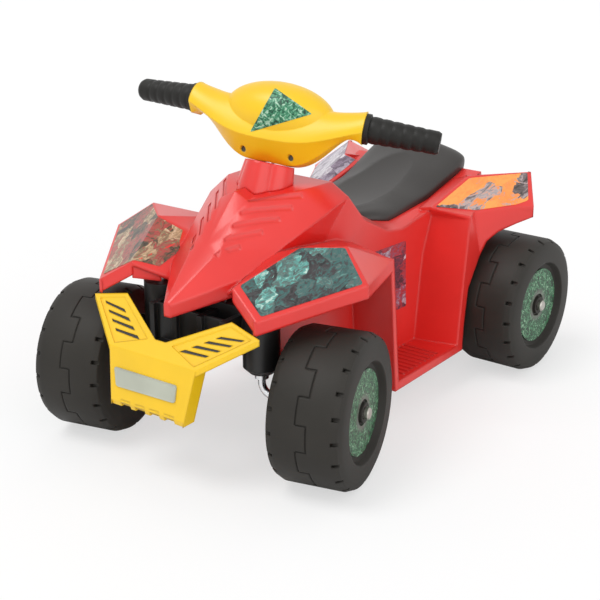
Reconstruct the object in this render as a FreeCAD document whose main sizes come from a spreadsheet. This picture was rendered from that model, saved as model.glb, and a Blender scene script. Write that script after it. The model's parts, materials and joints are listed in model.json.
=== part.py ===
import FreeCAD, Part
import math
import os
import re
import types

import Sketcher

# Child's battery quad bike, in millimetres.
# +Z is up, the front of the bike faces -Y and +X is the rider's left.
# Pieces are drawn with Z = 0 on the line of the wheel hubs and then lifted by the wheel radius,
# so the wheels stand on Z = 0. Steered pieces are drawn straight and turned by steer_rest.

V = FreeCAD.Vector
DIMENSIONS = {
    # Running gear
    "wheel_radius": 100.0,
    "wheel_width": 100.0,
    "track": 352.5,
    "wheelbase": 492.8,
    "bumper_reach": 128.1,
    "axle_radius": 5.0,
    "running_clearance": 0.05,
    "face_gap": 0.3,
    "tyre_wall": 4.0,
    "tyre_shoulder": 13.0,
    "tread_steps": 9,
    "tread_swing": 7.0,
    "tread_groove": 2.0,
    "tread_depth": 1.6,
    "notch_count": 20,
    "notch_width": 5.0,
    "notch_length": 12.0,
    "notch_depth": 2.0,
    "rim_radius": 66.0,
    "rim_depth": 9.0,
    "back_opening_radius": 62.0,
    "hub_tube_radius": 13.0,
    "hub_boss_height": 5.0,
    "hub_tube_inset": 10.0,
    "disc_radius": 55.0,
    "disc_hole_radius": 17.0,
    "disc_thickness": 2.0,
    "cap_radius": 8.0,
    "cap_length": 6.0,
    "cap_wall": 1.5,
    # Steering
    "kingpin_spread": 164.0,
    "kingpin_bend": 18.0,
    "collar_width": 8.0,
    "housing_radius": 24.0,
    "housing_bottom": 32.0,
    "housing_top": 122.0,
    "arm_reach": 40.0,
    "arm_width": 16.0,
    "arm_thickness": 4.0,
    "link_pin_radius": 3.0,
    "tie_bar_width": 14.0,
    "tie_bar_thickness": 3.0,
    "steer_rest": 13.2,
    "column_lean": 20.0,
    "column_radius": 6.0,
    "column_ahead": 121.7,
    "column_datum": 250.0,
    "column_bottom": -108.0,
    "crank_thickness": 5.0,
    "crank_slot_play": 1.5,
    "crank_pin_length": 12.0,
    "bar_radius": 8.0,
    "bar_height": 81.0,
    "bar_straight": 232.0,
    "bar_sweep": 13.0,
    "bar_bend": 30.0,
    "bar_wall": 1.5,
    "grip_length": 98.0,
    "grip_radius": 18.0,
    "grip_taper": 2.8,
    "grip_rib": 0.9,
    "grip_ribs": 6,
    "grip_flange_radius": 20.0,
    "grip_flange_width": 6.0,
    "grip_end": 4.0,
    "grip_start": 4.0,
    "cover_wall": 3.0,
    "cover_inset": 3.6,
    "cover_split": 6.0,
    "cap_half_width": 77.0,
    "cap_half_depth": 42.0,
    "cap_half_height": 41.0,
    "cap_behind": 1.0,
    "cap_middle": 81.0,
    "cover_rib_x": 60.0,
    "cover_screw_x": 34.0,
    "cover_screw_z": 26.0,
    "cover_screw_seat": -11.0,
    "cover_screw_length": 31.0,
    "collar_lobe_spread": 15.0,
    "collar_foot_radius": 28.0,
    "collar_head_radius": 21.0,
    "collar_height": 14.0,
    "collar_foot": 34.0,
    "guide_drop": 16.0,
    "guide_wall": 4.0,
    "screw_radius": 2.0,
    "screw_head_radius": 4.0,
    "screw_head_height": 2.0,
    # Body moulding
    "wall": 4.0,
    "foot_half_width": 157.0,
    "foot_floor_top": -38.0,
    "foot_floor_bottom": -50.0,
    "side_return": 5.0,
    "fender_lip": 17.0,
    "fender_plate": 5.0,
    "gully_tuck": 12.0,
    "gully_drop": 8.0,
    "gully_tip_x": 45.0,
    "gully_tip_ahead": 20.0,
    "gully_tip_height": 136.0,
    "gully_mid_behind": 50.0,
    "gully_rear_behind": 182.0,
    "gully_rear_height": 160.0,
    "knee_width": 28.0,
    "knee_behind": 183.0,
    "knee_height": 151.0,
    "knee_outer_behind": 186.0,
    "knee_outer_height": 144.0,
    "shield_top": 145.0,
    "shield_behind": 181.0,
    "shield_foot": 199.0,
    "shield_wall": 8.0,
    "well_skew": 16.0,
    "well_top": 152.0,
    "well_top_ahead": 102.0,
    "well_foot_ahead": 127.0,
    "well_back_ahead": 96.0,
    "well_floor_end": 112.0,
    "well_base_end": 118.0,
    "shoulder_ahead": 100.0,
    "shoulder_height": 158.0,
    "arch_foot_height": -22.8,
    "arch_knee_ahead": 101.0,
    "arch_knee_height": 43.0,
    "arch_top_ahead": 70.7,
    "arch_top_height": 84.3,
    "tail_root_behind": 42.0,
    "tail_root_lift": 6.0,
    "louvre_width": 4.0,
    "louvre_depth": 2.0,
    "floor_rib_height": 1.5,
    "floor_rib_width": 4.0,
    "floor_rib_pitch": 11.0,
    "boss_radius": 8.0,
    "boss_x": 30.0,
    "boss_ahead": 6.0,
    "boss_bore": 14.0,
    # Bumper
    "bumper_wall": 5.0,
    "bumper_top_half": 70.6,
    "bumper_bottom_half": 59.1,
    "bumper_panel_top": 70.0,
    "bumper_panel_bottom": -3.5,
    "bumper_lean": 14.0,
    "bumper_return": 22.0,
    "bumper_slots": 4,
    "bumper_field": 2.5,
    "bumper_foot": 7.0,
    "bumper_outer_x": 134.8,
    "bumper_outer_back": 43.0,
    "bumper_inner_x": 85.5,
    "bumper_inner_back": 52.0,
    "bumper_fork_x": 8.6,
    "bumper_fork_back": 17.0,
    "bumper_vents": 4,
    "bumper_vent_pitch": 24.0,
    "bumper_vent_width": 16.0,
    "bumper_vent_depth": 6.0,
    "bumper_vent_back": 2.0,
    "bumper_arm_slope": 0.96,
    "bumper_arm_depth": 8.0,
    # Front chassis
    "beam_half": 14.0,
    "beam_bottom": 60.0,
    "chassis_panel_half": 62.0,
    "chassis_panel_bottom": 56.0,
    "chassis_panel_top": 108.0,
    "chassis_panel_ahead": 42.0,
    "chassis_rib": 6.0,
    "tongue_x": 40.0,
    "tongue_half": 9.0,
    "tongue_bottom": 51.0,
    "tongue_height": 10.0,
    # Seat
    "seat_tuck": 2.0,
    "seat_round": 6.0,
    "shelf_x": 84.0,
    "shelf_tip_drop": 4.0,
    "shelf_root_drop": 9.0,
    "seat_sunk": 4.0,
    "seat_dish_ahead": 128.0,
    "seat_dish_height": 205.4,
    "seat_dish_tilt": 10.7,
    "seat_dish_half_length": 123.0,
    "seat_dish_half_width": 87.0,
    "seat_dish_half_height": 30.0,
    "seat_screw_ahead": 30.0,
    "seat_screw_bite": 0.6,
    "seat_screw_length": 16.0,
    # Drive
    "gear_module": 1.5,
    "gear_teeth": 40,
    "pinion_teeth": 12,
    "gear_width": 8.0,
    "gear_layer_gap": 2.0,
    "gear_backlash": 0.25,
    "gear_line_tilt": 22.0,
    "case_wall": 3.0,
    "case_play": 3.0,
    "gear_pin_radius": 3.0,
    "sleeve_radius": 11.0,
    "motor_radius": 18.0,
    "motor_length": 57.0,
    "motor_shaft_radius": 1.6,
    "bush_radius": 8.0,
    "bush_flange_radius": 13.0,
    "bush_flange_width": 3.0,
    # Power
    "battery_length": 100.0,
    "battery_width": 70.0,
    "battery_height": 96.0,
    "terminal_width": 8.0,
    "terminal_height": 5.0,
    "tray_thickness": 4.0,
    "tray_half": 114.0,
    "tray_start": 205.0,
    "tray_rear_gap": 130.0,
    "tray_screw_x": 104.0,
    "tray_screw_inset": 22.0,
    "tray_screw_length": 11.0,
    "tray_screw_recess": 2.5,
    "battery_behind": 35.9,
    "terminal_half": 20.0,
    "strap_width": 20.0,
    "strap_thickness": 2.5,
    "strap_foot": 12.0,
    "wire_radius": 2.0,
    "wire_bend": 10.0,
    "wire_rise": 26.0,
    "wire_aside": 25.0,
    # Pedal
    "pedal_length": 82.0,
    "pedal_width": 44.0,
    "pedal_thickness": 6.0,
    "pedal_pin_radius": 2.5,
    "pedal_pin_height": 7.0,
    "pedal_rest": 12.0,
    "pedal_ahead": 165.0,
    "pedal_ribs": 6,
    "ear_half": 5.0,
    "switch_reach": 55.0,
    "switch_proud": 5.0,
    "button_sunk": 7.0,
    "button_height": 7.7,
    "switch_length": 20.0,
    "switch_width": 12.0,
    "switch_button_radius": 2.5,
}

# Cross-sections of the main moulding: anchor (an axle or midway), distance behind it, then crown height,
# half width and height of the upper edge, of the side edge and of the waist, and the rim height.
STATION_FIELDS = ("y", "crown", "upper_x", "upper_z", "side_x", "side_z", "waist_x", "waist_z", "rim")
STATIONS = {
    "nose": ("front", -83.3, 132.0, 3.0, 131.0, 5.0, 129.0, 5.0, 121.0, 113.0),
    "brow": ("front", -7.3, 186.0, 21.0, 181.0, 57.0, 152.0, 57.0, 142.0, 132.0),
    "crown": ("front", 53.7, 243.0, 21.0, 232.0, 76.0, 181.0, 62.0, 135.0, 40.0),
    "deck_front": ("front", 117.7, 240.0, 63.0, 240.0, 95.0, 211.0, 66.0, 125.0, 0.0),
    "deck_rear": ("front", 175.0, 238.0, 66.0, 238.0, 93.0, 222.0, 92.0, 60.0, -50.0),
    "saddle_front": ("front", 214.0, 190.0, 72.0, 190.0, 93.0, 180.0, 92.0, 60.0, -50.0),
    "saddle_dip": ("middle", 24.4, 158.0, 75.0, 158.0, 93.0, 150.0, 92.0, 60.0, -50.0),
    "saddle_low": ("middle", 61.4, 151.0, 77.0, 151.0, 93.5, 143.0, 92.0, 60.0, -50.0),
    "seat_mid": ("rear", -89.0, 160.0, 84.0, 160.0, 104.0, 163.0, 92.0, 60.0, -50.0),
    "seat_rear": ("rear", 9.0, 186.0, 84.0, 186.0, 110.0, 186.0, 92.0, 60.0, -30.0),
    "tail": ("rear", 46.0, 176.0, 66.0, 174.0, 92.0, 164.0, 92.0, 60.0, 0.0),
}
# Corners of the left fenders: axle, distance outward from the wheel's middle plane, behind the axle, height.
# Corners without a height lie on the plane of the first three.
CORNER_FIELDS = ("out", "behind", "height")
CORNERS = {
    "front_tip": ("front", -48.0, -69.0, 130.5),
    "front_side": ("front", 31.0, 52.0, 159.0),
    "front_crest": ("front", -16.0, 74.0, 194.0),
    "front_tip_inner": ("front", -94.0, -56.0),
    "front_crest_inner": ("front", -61.0, 34.0),
    "rear_tip": ("rear", -71.25, -124.0, 162.0),
    "rear_root": ("rear", -66.25, -29.0, 188.0),
    "rear_side": ("rear", 7.0, -10.0, 149.0),
    "rear_side_ahead": ("rear", -29.0, -75.0),
    "rear_side_behind": ("rear", 22.0, 12.0),
    "rear_top": ("rear", -11.0, 63.0),
    "flare_ahead": ("rear", -14.25, -60.0, 105.0),
    "flare_mid": ("rear", -6.25, -40.7, 115.9),
    "flare_side": ("rear", 8.75, -14.8, 124.3),
    "flare_behind": ("rear", 20.75, 12.3, 129.3),
}
# Hood grooves: inner end behind the axle, outer end's half width and distance behind the axle
LOUVRES = ((54.2, 65.5, 110.2), (37.9, 63.4, 91.3), (22.1, 59.3, 70.3), (5.6, 51.2, 45.3),
           (-12.8, 38.9, 14.8))
# Saddle sections: distance behind the rear axle, half width, height of edge and crown over the body
SADDLE = (
    (-231.0, 36.0, 5.0, 8.0), (-218.0, 52.0, 8.0, 12.0), (-200.0, 67.0, 11.0, 19.0),
    (-168.0, 73.0, 12.5, 24.5), (-130.0, 74.0, 13.0, 28.0), (-90.0, 76.0, 13.5, 31.0),
    (-50.0, 78.0, 15.0, 30.0), (-12.0, 80.0, 18.0, 31.0), (12.0, 78.0, 20.0, 34.0),
    (30.0, 67.0, 18.0, 31.0), (44.0, 46.0, 13.0, 23.0))
TABLES = {"louvre": LOUVRES, "saddle": SADDLE}

doc = FreeCAD.newDocument("quad_bike")
sheet = doc.addObject("Spreadsheet::Sheet", "dims")


def fill_sheet():
    """Write every driving dimension into the sheet and return the values read back from it."""
    cells = dict(DIMENSIONS)
    for name, station in STATIONS.items():
        for field, value in zip(STATION_FIELDS, station[1:]):
            cells["%s_%s" % (name, field)] = value
    for name, place in CORNERS.items():
        for field, value in zip(CORNER_FIELDS, place[1:]):
            cells["%s_%s" % (name, field)] = value
    for name, rows in TABLES.items():
        for i, values in enumerate(rows):
            for j, value in enumerate(values):
                cells["%s_%d_%d" % (name, i, j)] = value
    for row, (name, value) in enumerate(cells.items(), start=1):
        sheet.set("A%d" % row, name)
        sheet.set("B%d" % row, str(value))
        sheet.setAlias("B%d" % row, name)
    doc.recompute()
    return types.SimpleNamespace(**{name: float(sheet.get(name)) for name in cells})


def table(name):
    """Rows of a table as they stand in the sheet."""
    rows = []
    for i, values in enumerate(TABLES[name]):
        rows.append([getattr(d, "%s_%d_%d" % (name, i, j)) for j in range(len(values))])
    return rows


d = fill_sheet()

# Places that several pieces share
overall_length = d.wheelbase + d.wheel_radius + d.bumper_reach
rear_axle_y = overall_length / 2 - d.wheel_radius
front_axle_y = rear_axle_y - d.wheelbase
half_track = d.track / 2
kingpin_x = d.kingpin_spread / 2
hub_face = d.wheel_width / 2 - d.rim_depth + d.hub_boss_height
axle_end = half_track + hub_face + d.face_gap + d.cap_length - d.cap_wall
bore_radius = d.axle_radius + d.running_clearance
column_y = front_axle_y + d.column_ahead
arm_bottom = d.housing_top + d.face_gap
kingpin_top = arm_bottom + d.arm_thickness
mid_axle_y = (front_axle_y + rear_axle_y) / 2
ANCHORS = {"front": front_axle_y, "middle": mid_axle_y, "rear": rear_axle_y}
LIFT = FreeCAD.Placement(V(0, 0, d.wheel_radius), FreeCAD.Rotation())
pieces = []


def front(offset):
    return front_axle_y + offset


def rear(offset):
    return rear_axle_y + offset


def shift(x, y, z):
    return FreeCAD.Placement(V(x, y, z), FreeCAD.Rotation())


def turn(axis, degrees):
    return FreeCAD.Placement(V(0, 0, 0), FreeCAD.Rotation(axis, degrees))


def steered(x):
    """Placement that turns a straight-drawn front piece about the kingpin at x."""
    pivot = shift(x, front_axle_y, 0)
    return LIFT.multiply(pivot).multiply(turn(V(0, 0, 1), d.steer_rest)).multiply(pivot.inverse())


# Handlebar pieces are drawn about the column, with their Z along it
LEAN_LOCAL = shift(0, column_y, d.column_datum).multiply(turn(V(1, 0, 0), -d.column_lean))
STEER = LIFT.multiply(LEAN_LOCAL).multiply(turn(V(0, 0, 1), d.steer_rest))

# Places of the pedal on the right footboard
pedal_x = -(d.foot_half_width + d.deck_rear_waist_x) / 2
pedal_y = rear(-d.pedal_ahead)
pin_z = d.foot_floor_top + d.pedal_pin_height
switch_y = pedal_y - d.switch_reach
switch_top = d.foot_floor_top + d.switch_proud


def keep(obj, label, placement=None):
    """Name a finished sub-part, place it and list it for export."""
    obj.Label = label
    if placement is not None:
        obj.Placement = placement
    pieces.append(obj)
    return obj


def feature(label, shape, placement=LIFT):
    """A sub-part whose form is built straight from shapes."""
    obj = doc.addObject("Part::Feature", label)
    obj.Shape = shape
    return keep(obj, label, placement)


def bind(words):
    """Turn plain dimension names into references to the sheet's cells."""
    return re.sub(r"[a-z_]+", lambda found: "dims." + found.group(0), words)


def new_body(label):
    return doc.addObject("PartDesign::Body", label)


def origin_part(body, role):
    for member in body.Origin.OriginFeatures:
        if member.Role == role:
            return member
    raise ValueError(role)


def polygon_sketch(body, name, plane, corners):
    """Closed outline whose every corner is held at dimensions from the sheet."""
    sketch = body.newObject("Sketcher::SketchObject", name)
    sketch.AttachmentSupport = [(origin_part(body, plane), "")]
    sketch.MapMode = "FlatFace"
    count = len(corners)
    start = [V(50 * math.cos(0.1 + 6.0 * i / count), 50 * math.sin(0.1 + 6.0 * i / count), 0)
             for i in range(count)]
    for i in range(count):
        sketch.addGeometry(Part.LineSegment(start[i], start[(i + 1) % count]), False)
    for i in range(count):
        sketch.addConstraint(Sketcher.Constraint("Coincident", i, 2, (i + 1) % count, 1))
    bound = []
    for i, corner in enumerate(corners):
        for kind, size, guess, axis in (("DistanceX", corner[0], start[i].x, -2),
                                        ("DistanceY", corner[1], start[i].y, -1)):
            if size == "0":
                sketch.addConstraint(Sketcher.Constraint("PointOnObject", i, 1, axis))
            else:
                index = sketch.addConstraint(Sketcher.Constraint(kind, -1, 1, i, 1, guess))
                bound.append((index, size))
    for index, size in bound:
        sketch.setExpression("Constraints[%d]" % index, bind(size))
    return sketch


def revolved(label, corners, placement, plane="XZ_Plane", axis="H_Axis"):
    """A turned piece: an outline of (along the axis, radius) corners spun about the axis."""
    body = new_body(label)
    outline = polygon_sketch(body, label + "_outline", plane, corners)
    spin = body.newObject("PartDesign::Revolution", label + "_spin")
    spin.Profile = outline
    spin.ReferenceAxis = (outline, [axis])
    spin.Angle = 360
    outline.Visibility = False
    return keep(body, label, placement)


def padded(label, plane, corners, length, placement):
    """A flat piece: an outline given thickness on one side of its plane."""
    body = new_body(label)
    outline = polygon_sketch(body, label + "_outline", plane, corners)
    pad = body.newObject("PartDesign::Pad", label + "_pad")
    pad.Profile = outline
    pad.setExpression("Length", bind(length))
    return keep(body, label, placement)


def drilled(body, name, centres, radius, depth=None):
    """Round holes in a flat piece, through it or to a depth from below, held at dimensions from the sheet."""
    sketch = body.newObject("Sketcher::SketchObject", name + "_centres")
    sketch.AttachmentSupport = [(origin_part(body, "XY_Plane"), "")]
    sketch.MapMode = "FlatFace"
    for i, (x, y) in enumerate(centres):
        sketch.addGeometry(Part.Circle(V(10 * i - 15, 40, 0), V(0, 0, 1), 2), False)
        for kind, size, guess in (("DistanceX", x, 10 * i - 15), ("DistanceY", y, 40)):
            index = sketch.addConstraint(Sketcher.Constraint(kind, -1, 1, i, 3, guess))
            sketch.setExpression("Constraints[%d]" % index, bind(size))
        index = sketch.addConstraint(Sketcher.Constraint("Radius", i, 2))
        sketch.setExpression("Constraints[%d]" % index, bind(radius))
    holes = body.newObject("PartDesign::Pocket", name)
    holes.Profile = sketch
    holes.Type = "Length" if depth else "ThroughAll"
    holes.Reversed = True
    if depth:
        holes.setExpression("Length", bind(depth))


def rod(start, end, radius):
    return Part.makeCylinder(radius, (end - start).Length, start, end - start)


def box(low, high):
    return Part.makeBox(high.x - low.x, high.y - low.y, high.z - low.z, low)


def polygon(points):
    return Part.makePolygon(list(points) + [points[0]])


def prism(points, along):
    return Part.Face(polygon(points)).extrude(along)


def faceted(rows):
    """Solid with flat faces between closed outlines that have the same number of corners."""
    faces = [Part.Face(polygon(rows[0])), Part.Face(polygon(rows[-1]))]
    for ahead, behind in zip(rows, rows[1:]):
        for i in range(len(ahead)):
            j = (i + 1) % len(ahead)
            a, b, c, e = ahead[i], ahead[j], behind[j], behind[i]
            level = abs((b - a).cross(e - a).normalize().dot(c - a)) < 0.001
            if level:
                corners = [(a, b, c, e)]
            elif (c - a).Length < (e - b).Length:
                corners = [(a, b, c), (a, c, e)]
            else:
                corners = [(a, b, e), (b, c, e)]
            faces += [Part.Face(polygon(face)) for face in corners]
    solid = Part.makeSolid(Part.makeShell(faces))
    if solid.Volume < 0:
        solid.reverse()
    return solid


def mirrored(shape):
    return shape.mirror(V(0, 0, 0), V(1, 0, 0))


def both_sides(shape):
    return [shape, mirrored(shape)]


def fused(shapes):
    return shapes[0].multiFuse(shapes[1:]).removeSplitter()


# Main moulding: hood, deck, saddle and tail

def section_at(y):
    """Size of the moulding's cross-section at y, straight between the stations."""
    rows = []
    for name, station in STATIONS.items():
        values = [getattr(d, "%s_%s" % (name, field)) for field in STATION_FIELDS]
        rows.append([ANCHORS[station[0]] + values[0]] + values[1:])
    for ahead, behind in zip(rows, rows[1:]):
        if y <= behind[0]:
            break
    share = (y - ahead[0]) / (behind[0] - ahead[0])
    values = [a + (b - a) * share for a, b in zip(ahead, behind)]
    return types.SimpleNamespace(**dict(zip(STATION_FIELDS, values)))


def station_ys():
    return [ANCHORS[station[0]] + getattr(d, name + "_y") for name, station in STATIONS.items()]


def section_row(y, inset, drop):
    """Outline of the moulding at y, drawn inside the skin by inset and lowered at the rim by drop."""
    s = section_at(y)
    half = [(0, s.crown - inset), (s.upper_x - inset / 2, s.upper_z - inset),
            (s.side_x - inset, s.side_z - inset),
            (s.waist_x - inset, s.waist_z), (s.waist_x - inset, s.rim - drop)]
    points = [V(x, y, z) for x, z in half]
    points += [V(-x, y, z) for x, z in reversed(half[1:])]
    return points


def core_solid(inset, drop):
    ys = station_ys()
    if inset:
        ys[0] += 6 * inset
        ys[-1] -= inset
    return faceted([section_row(y, inset, drop) for y in ys])


def plate(points, thickness):
    return prism(points, V(0, 0, -thickness))


def lip(start, end, depth, inward):
    """Downward rim under one edge of a fender."""
    low = V(0, 0, -depth)
    return prism([start, end, end + low, start + low], inward)


def on_plane(corner_a, corner_b, corner_c):
    """Function giving the point of a plane above any x and y."""
    normal = (corner_b - corner_a).cross(corner_c - corner_a)

    def point(x, y):
        z = corner_a.z - (normal.x * (x - corner_a.x) + normal.y * (y - corner_a.y)) / normal.z
        return V(x, y, z)
    return point


def corner(name, face=None):
    """Named corner of a left fender, set on the face's plane where one is given."""
    x = half_track + getattr(d, name + "_out")
    y = ANCHORS[CORNERS[name][0]] + getattr(d, name + "_behind")
    if face:
        return face(x, y)
    return V(x, y, getattr(d, name + "_height"))


def front_fender():
    """Left front fender: a rising face, a facet falling to the leg shield and a gully to the hood."""
    tip, side, crest = corner("front_tip"), corner("front_side"), corner("front_crest")
    face = on_plane(tip, side, crest)
    tip_inner, crest_inner = corner("front_tip_inner", face), corner("front_crest_inner", face)
    gully_tip = V(d.gully_tip_x, front(-d.gully_tip_ahead), d.gully_tip_height)
    gully_mid = V(d.crown_side_x - d.gully_tuck, front(d.gully_mid_behind), d.crown_side_z - d.gully_drop)
    gully_rear = V(d.deck_rear_waist_x - d.gully_tuck, front(d.gully_rear_behind), d.gully_rear_height)
    knee = V(d.foot_half_width - d.knee_width, front(d.knee_behind), d.knee_height)
    knee_outer = V(d.foot_half_width, front(d.knee_outer_behind), d.knee_outer_height)
    facets = [(tip_inner, tip, side, crest, crest_inner), (crest, side, knee_outer),
              (crest, knee_outer, knee), (crest, knee, crest_inner), (crest_inner, knee, gully_rear),
              (crest_inner, gully_rear, gully_mid), (tip_inner, crest_inner, gully_mid),
              (tip_inner, gully_mid, gully_tip)]
    solids = [plate(facet, d.fender_plate) for facet in facets]
    inward = V(-d.fender_plate, 0, 0)
    solids.append(lip(tip_inner, tip, d.fender_lip, V(0, d.fender_plate, 0)))
    solids.append(lip(tip, side, d.fender_lip, inward))
    solids.append(lip(side, knee_outer, d.fender_lip, inward))
    return solids


def rear_fender():
    """Left rear fender: a wing rising backwards beside the seat, with a flared edge round the wheel arch."""
    tip, root, side = corner("rear_tip"), corner("rear_root"), corner("rear_side")
    face = on_plane(tip, root, side)
    ahead, behind = corner("rear_side_ahead", face), corner("rear_side_behind", face)
    top = corner("rear_top", face)
    tail_root = V(d.tail_side_x - d.wall, rear(d.tail_root_behind), d.tail_side_z + d.tail_root_lift)
    shoulder = V(d.seat_mid_side_x - d.wall, rear(-d.shoulder_ahead), d.shoulder_height)
    shelf_tip = V(d.shelf_x, tip.y, tip.z - d.shelf_tip_drop)
    shelf_root = V(d.shelf_x, root.y, root.z - d.shelf_root_drop)
    wall_outer = V(d.foot_half_width, rear(-d.well_top_ahead), d.well_top)
    wall_inner = V(d.deck_rear_waist_x - d.wall / 2, rear(-d.well_top_ahead - d.well_skew), d.well_top)
    facets = [(tip, ahead, side, behind, top, root), (tip, wall_outer, ahead), (tip, wall_inner, wall_outer),
              (tip, shoulder, wall_inner), (root, top, tail_root), (tip, root, shelf_root),
              (tip, shelf_root, shelf_tip), (tip, shelf_tip, shoulder)]
    solids = [plate(facet, d.fender_plate) for facet in facets]
    arch_top = V(d.foot_half_width, rear(-d.arch_top_ahead), d.arch_top_height)
    upper = [wall_outer, ahead, ahead, ahead, side, side, side, behind]
    lower = [arch_top, arch_top, corner("flare_ahead"), corner("flare_mid"), corner("flare_mid"),
             corner("flare_side"), corner("flare_behind"), corner("flare_behind")]
    inward = V(-d.fender_plate, 0, 0)
    for above, below, next_above, next_below in zip(upper, lower, upper[1:], lower[1:]):
        third = next_above if below == next_below else next_below
        solids.append(prism([above, below, third], inward))
    solids.append(lip(root, tail_root, d.fender_lip, inward))
    solids.append(lip(behind, top, d.fender_lip, inward))
    solids.append(lip(top, tail_root, d.fender_lip, V(0, -d.fender_plate, 0)))
    return solids


def footwell():
    """Left leg shield, footboard and rear wall, one folded panel that is skewed towards its outer edge."""
    floor, base = d.foot_floor_top, d.foot_floor_bottom
    ends = []
    for x, skew in ((d.deck_rear_waist_x - d.wall / 2, d.well_skew), (d.foot_half_width, 0)):
        ends.append([
            V(x, front(d.shield_behind), d.shield_top), V(x, front(d.shield_foot), base),
            V(x, rear(-d.well_base_end) - skew, base), V(x, rear(-d.well_floor_end) - skew, floor),
            V(x, rear(-d.well_back_ahead) - skew, d.well_top),
            V(x, rear(-d.well_top_ahead) - skew, d.well_top),
            V(x, rear(-d.well_foot_ahead) - skew, floor), V(x, front(d.shield_foot + d.shield_wall), floor),
            V(x, front(d.shield_behind + d.shield_wall), d.shield_top)])
    solids = [faceted(ends)]
    rib_y = front(d.shield_foot) + 3 * d.floor_rib_pitch
    while rib_y < rear(-d.pedal_ahead):
        solids.append(box(V(d.deck_rear_waist_x, rib_y, floor),
                          V(d.foot_half_width - d.shield_wall, rib_y + d.floor_rib_width,
                            floor + d.floor_rib_height)))
        rib_y += d.floor_rib_pitch
    return solids


def rear_side_panel():
    """Outer return of the rear wall, cut back round the rear wheel."""
    outline = [(-d.well_foot_ahead, d.foot_floor_top), (-d.well_base_end, d.foot_floor_bottom),
               (-d.well_floor_end, d.foot_floor_bottom), (-d.well_floor_end, d.arch_foot_height),
               (-d.arch_knee_ahead, d.arch_knee_height), (-d.arch_top_ahead, d.arch_top_height),
               (-d.well_top_ahead, d.well_top)]
    return prism([V(d.foot_half_width, rear(y), z) for y, z in outline], V(-d.side_return, 0, 0))


def louvres(skin):
    """Slanted grooves in both faces of the hood, longest at the top."""
    sunk = skin.translated(V(0, 0, -d.louvre_depth))
    cuts = []
    for inner_y, outer_x, outer_y in table("louvre"):
        inner = V(d.brow_upper_x, front(inner_y), 0)
        outer = V(outer_x, front(outer_y), 0)
        across = V(0, 0, 1).cross((outer - inner).normalize()) * d.louvre_width
        strip = prism([inner, outer, outer + across, inner + across], V(0, 0, 2 * d.column_datum))
        cuts += both_sides(strip.cut(sunk))
    return cuts


def hood_bosses(skin):
    """Posts under the hood that the chassis screws into."""
    posts = []
    for x in (d.boss_x, -d.boss_x):
        foot = V(x, front(-d.boss_ahead), d.housing_top - d.wall)
        post = rod(foot, V(foot.x, foot.y, d.column_datum), d.boss_radius).common(skin)
        posts.append(post.cut(rod(foot, foot + V(0, 0, d.boss_bore), d.screw_radius)))
    return posts


def pedal_ears():
    """Two lugs on the footboard that hold the pedal's pin."""
    ears = []
    for side in (1, -1):
        inner = pedal_x + side * (d.pedal_width / 2 + d.face_gap)
        outer = inner + side * d.wall
        ears.append(box(V(min(inner, outer), pedal_y - d.ear_half, d.foot_floor_top),
                        V(max(inner, outer), pedal_y + d.ear_half, pin_z + d.ear_half)))
    return ears


def shell_openings():
    """Room in the moulding for the steering, the axle, the pedal, its switch and the screws."""
    cuts = []
    for x in (kingpin_x, -kingpin_x):
        cuts.append(rod(V(x, front_axle_y, d.foot_floor_bottom), V(x, front_axle_y, kingpin_top + 12),
                        d.housing_radius + 1))
        cuts.append(box(V(min(x, x / 2), front(d.arm_reach - 28), d.housing_top - 2 * d.wall),
                        V(max(x, x / 2), front(d.arm_reach + 16), kingpin_top + 12)))
    cuts.append(box(V(-kingpin_x, front(-d.beam_half - 2), 0),
                    V(kingpin_x, front(d.beam_half + 2), d.housing_top - d.wall)))
    cuts.append(rod(V(0, rear_axle_y, 0), V(axle_end, rear_axle_y, 0), d.bush_radius))
    cuts.append(rod(V(0, rear_axle_y, 0), V(-axle_end, rear_axle_y, 0), d.sleeve_radius + 1))
    guide = rod(V(0, 0, -d.collar_foot), V(0, 0, d.collar_height), d.column_radius + d.guide_wall)
    guide.Placement = LEAN_LOCAL
    cuts.append(guide)
    cuts.append(switch_box)
    cuts.append(box(V(pedal_x, switch_y - d.wire_radius - 0.5, d.foot_floor_bottom),
                    V(0, switch_y + d.wire_radius + 0.5, d.foot_floor_bottom + 2 * d.wire_radius + 1)))
    cuts.append(pedal_pin)
    cuts += tray_screws
    cuts.append(seat_screw)
    return cuts


def body_shell():
    skin = core_solid(0, 0)
    outer = [skin]
    for side in (front_fender, rear_fender, footwell):
        for solid in side():
            outer += both_sides(solid)
    outer += both_sides(rear_side_panel())
    shell = fused(outer)
    pedal_room = box(V(pedal_x - pin_half - 2, pedal_y - d.pedal_length - 4, d.foot_floor_top),
                     V(pedal_x + pin_half + 2, pedal_y + d.ear_half + 2, d.foot_floor_top + 60))
    shell = shell.cut([core_solid(d.wall, d.wall), pedal_room] + louvres(skin))
    shell = fused([shell] + hood_bosses(skin) + pedal_ears())
    return shell.cut(shell_openings())


def upward_screw(x, y, under_head, length):
    """Screw driven upwards, its head below."""
    foot = V(x, y, under_head)
    return fused([rod(foot, foot + V(0, 0, length), d.screw_radius),
                  rod(foot - V(0, 0, d.screw_head_height), foot, d.screw_head_radius)])


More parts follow.
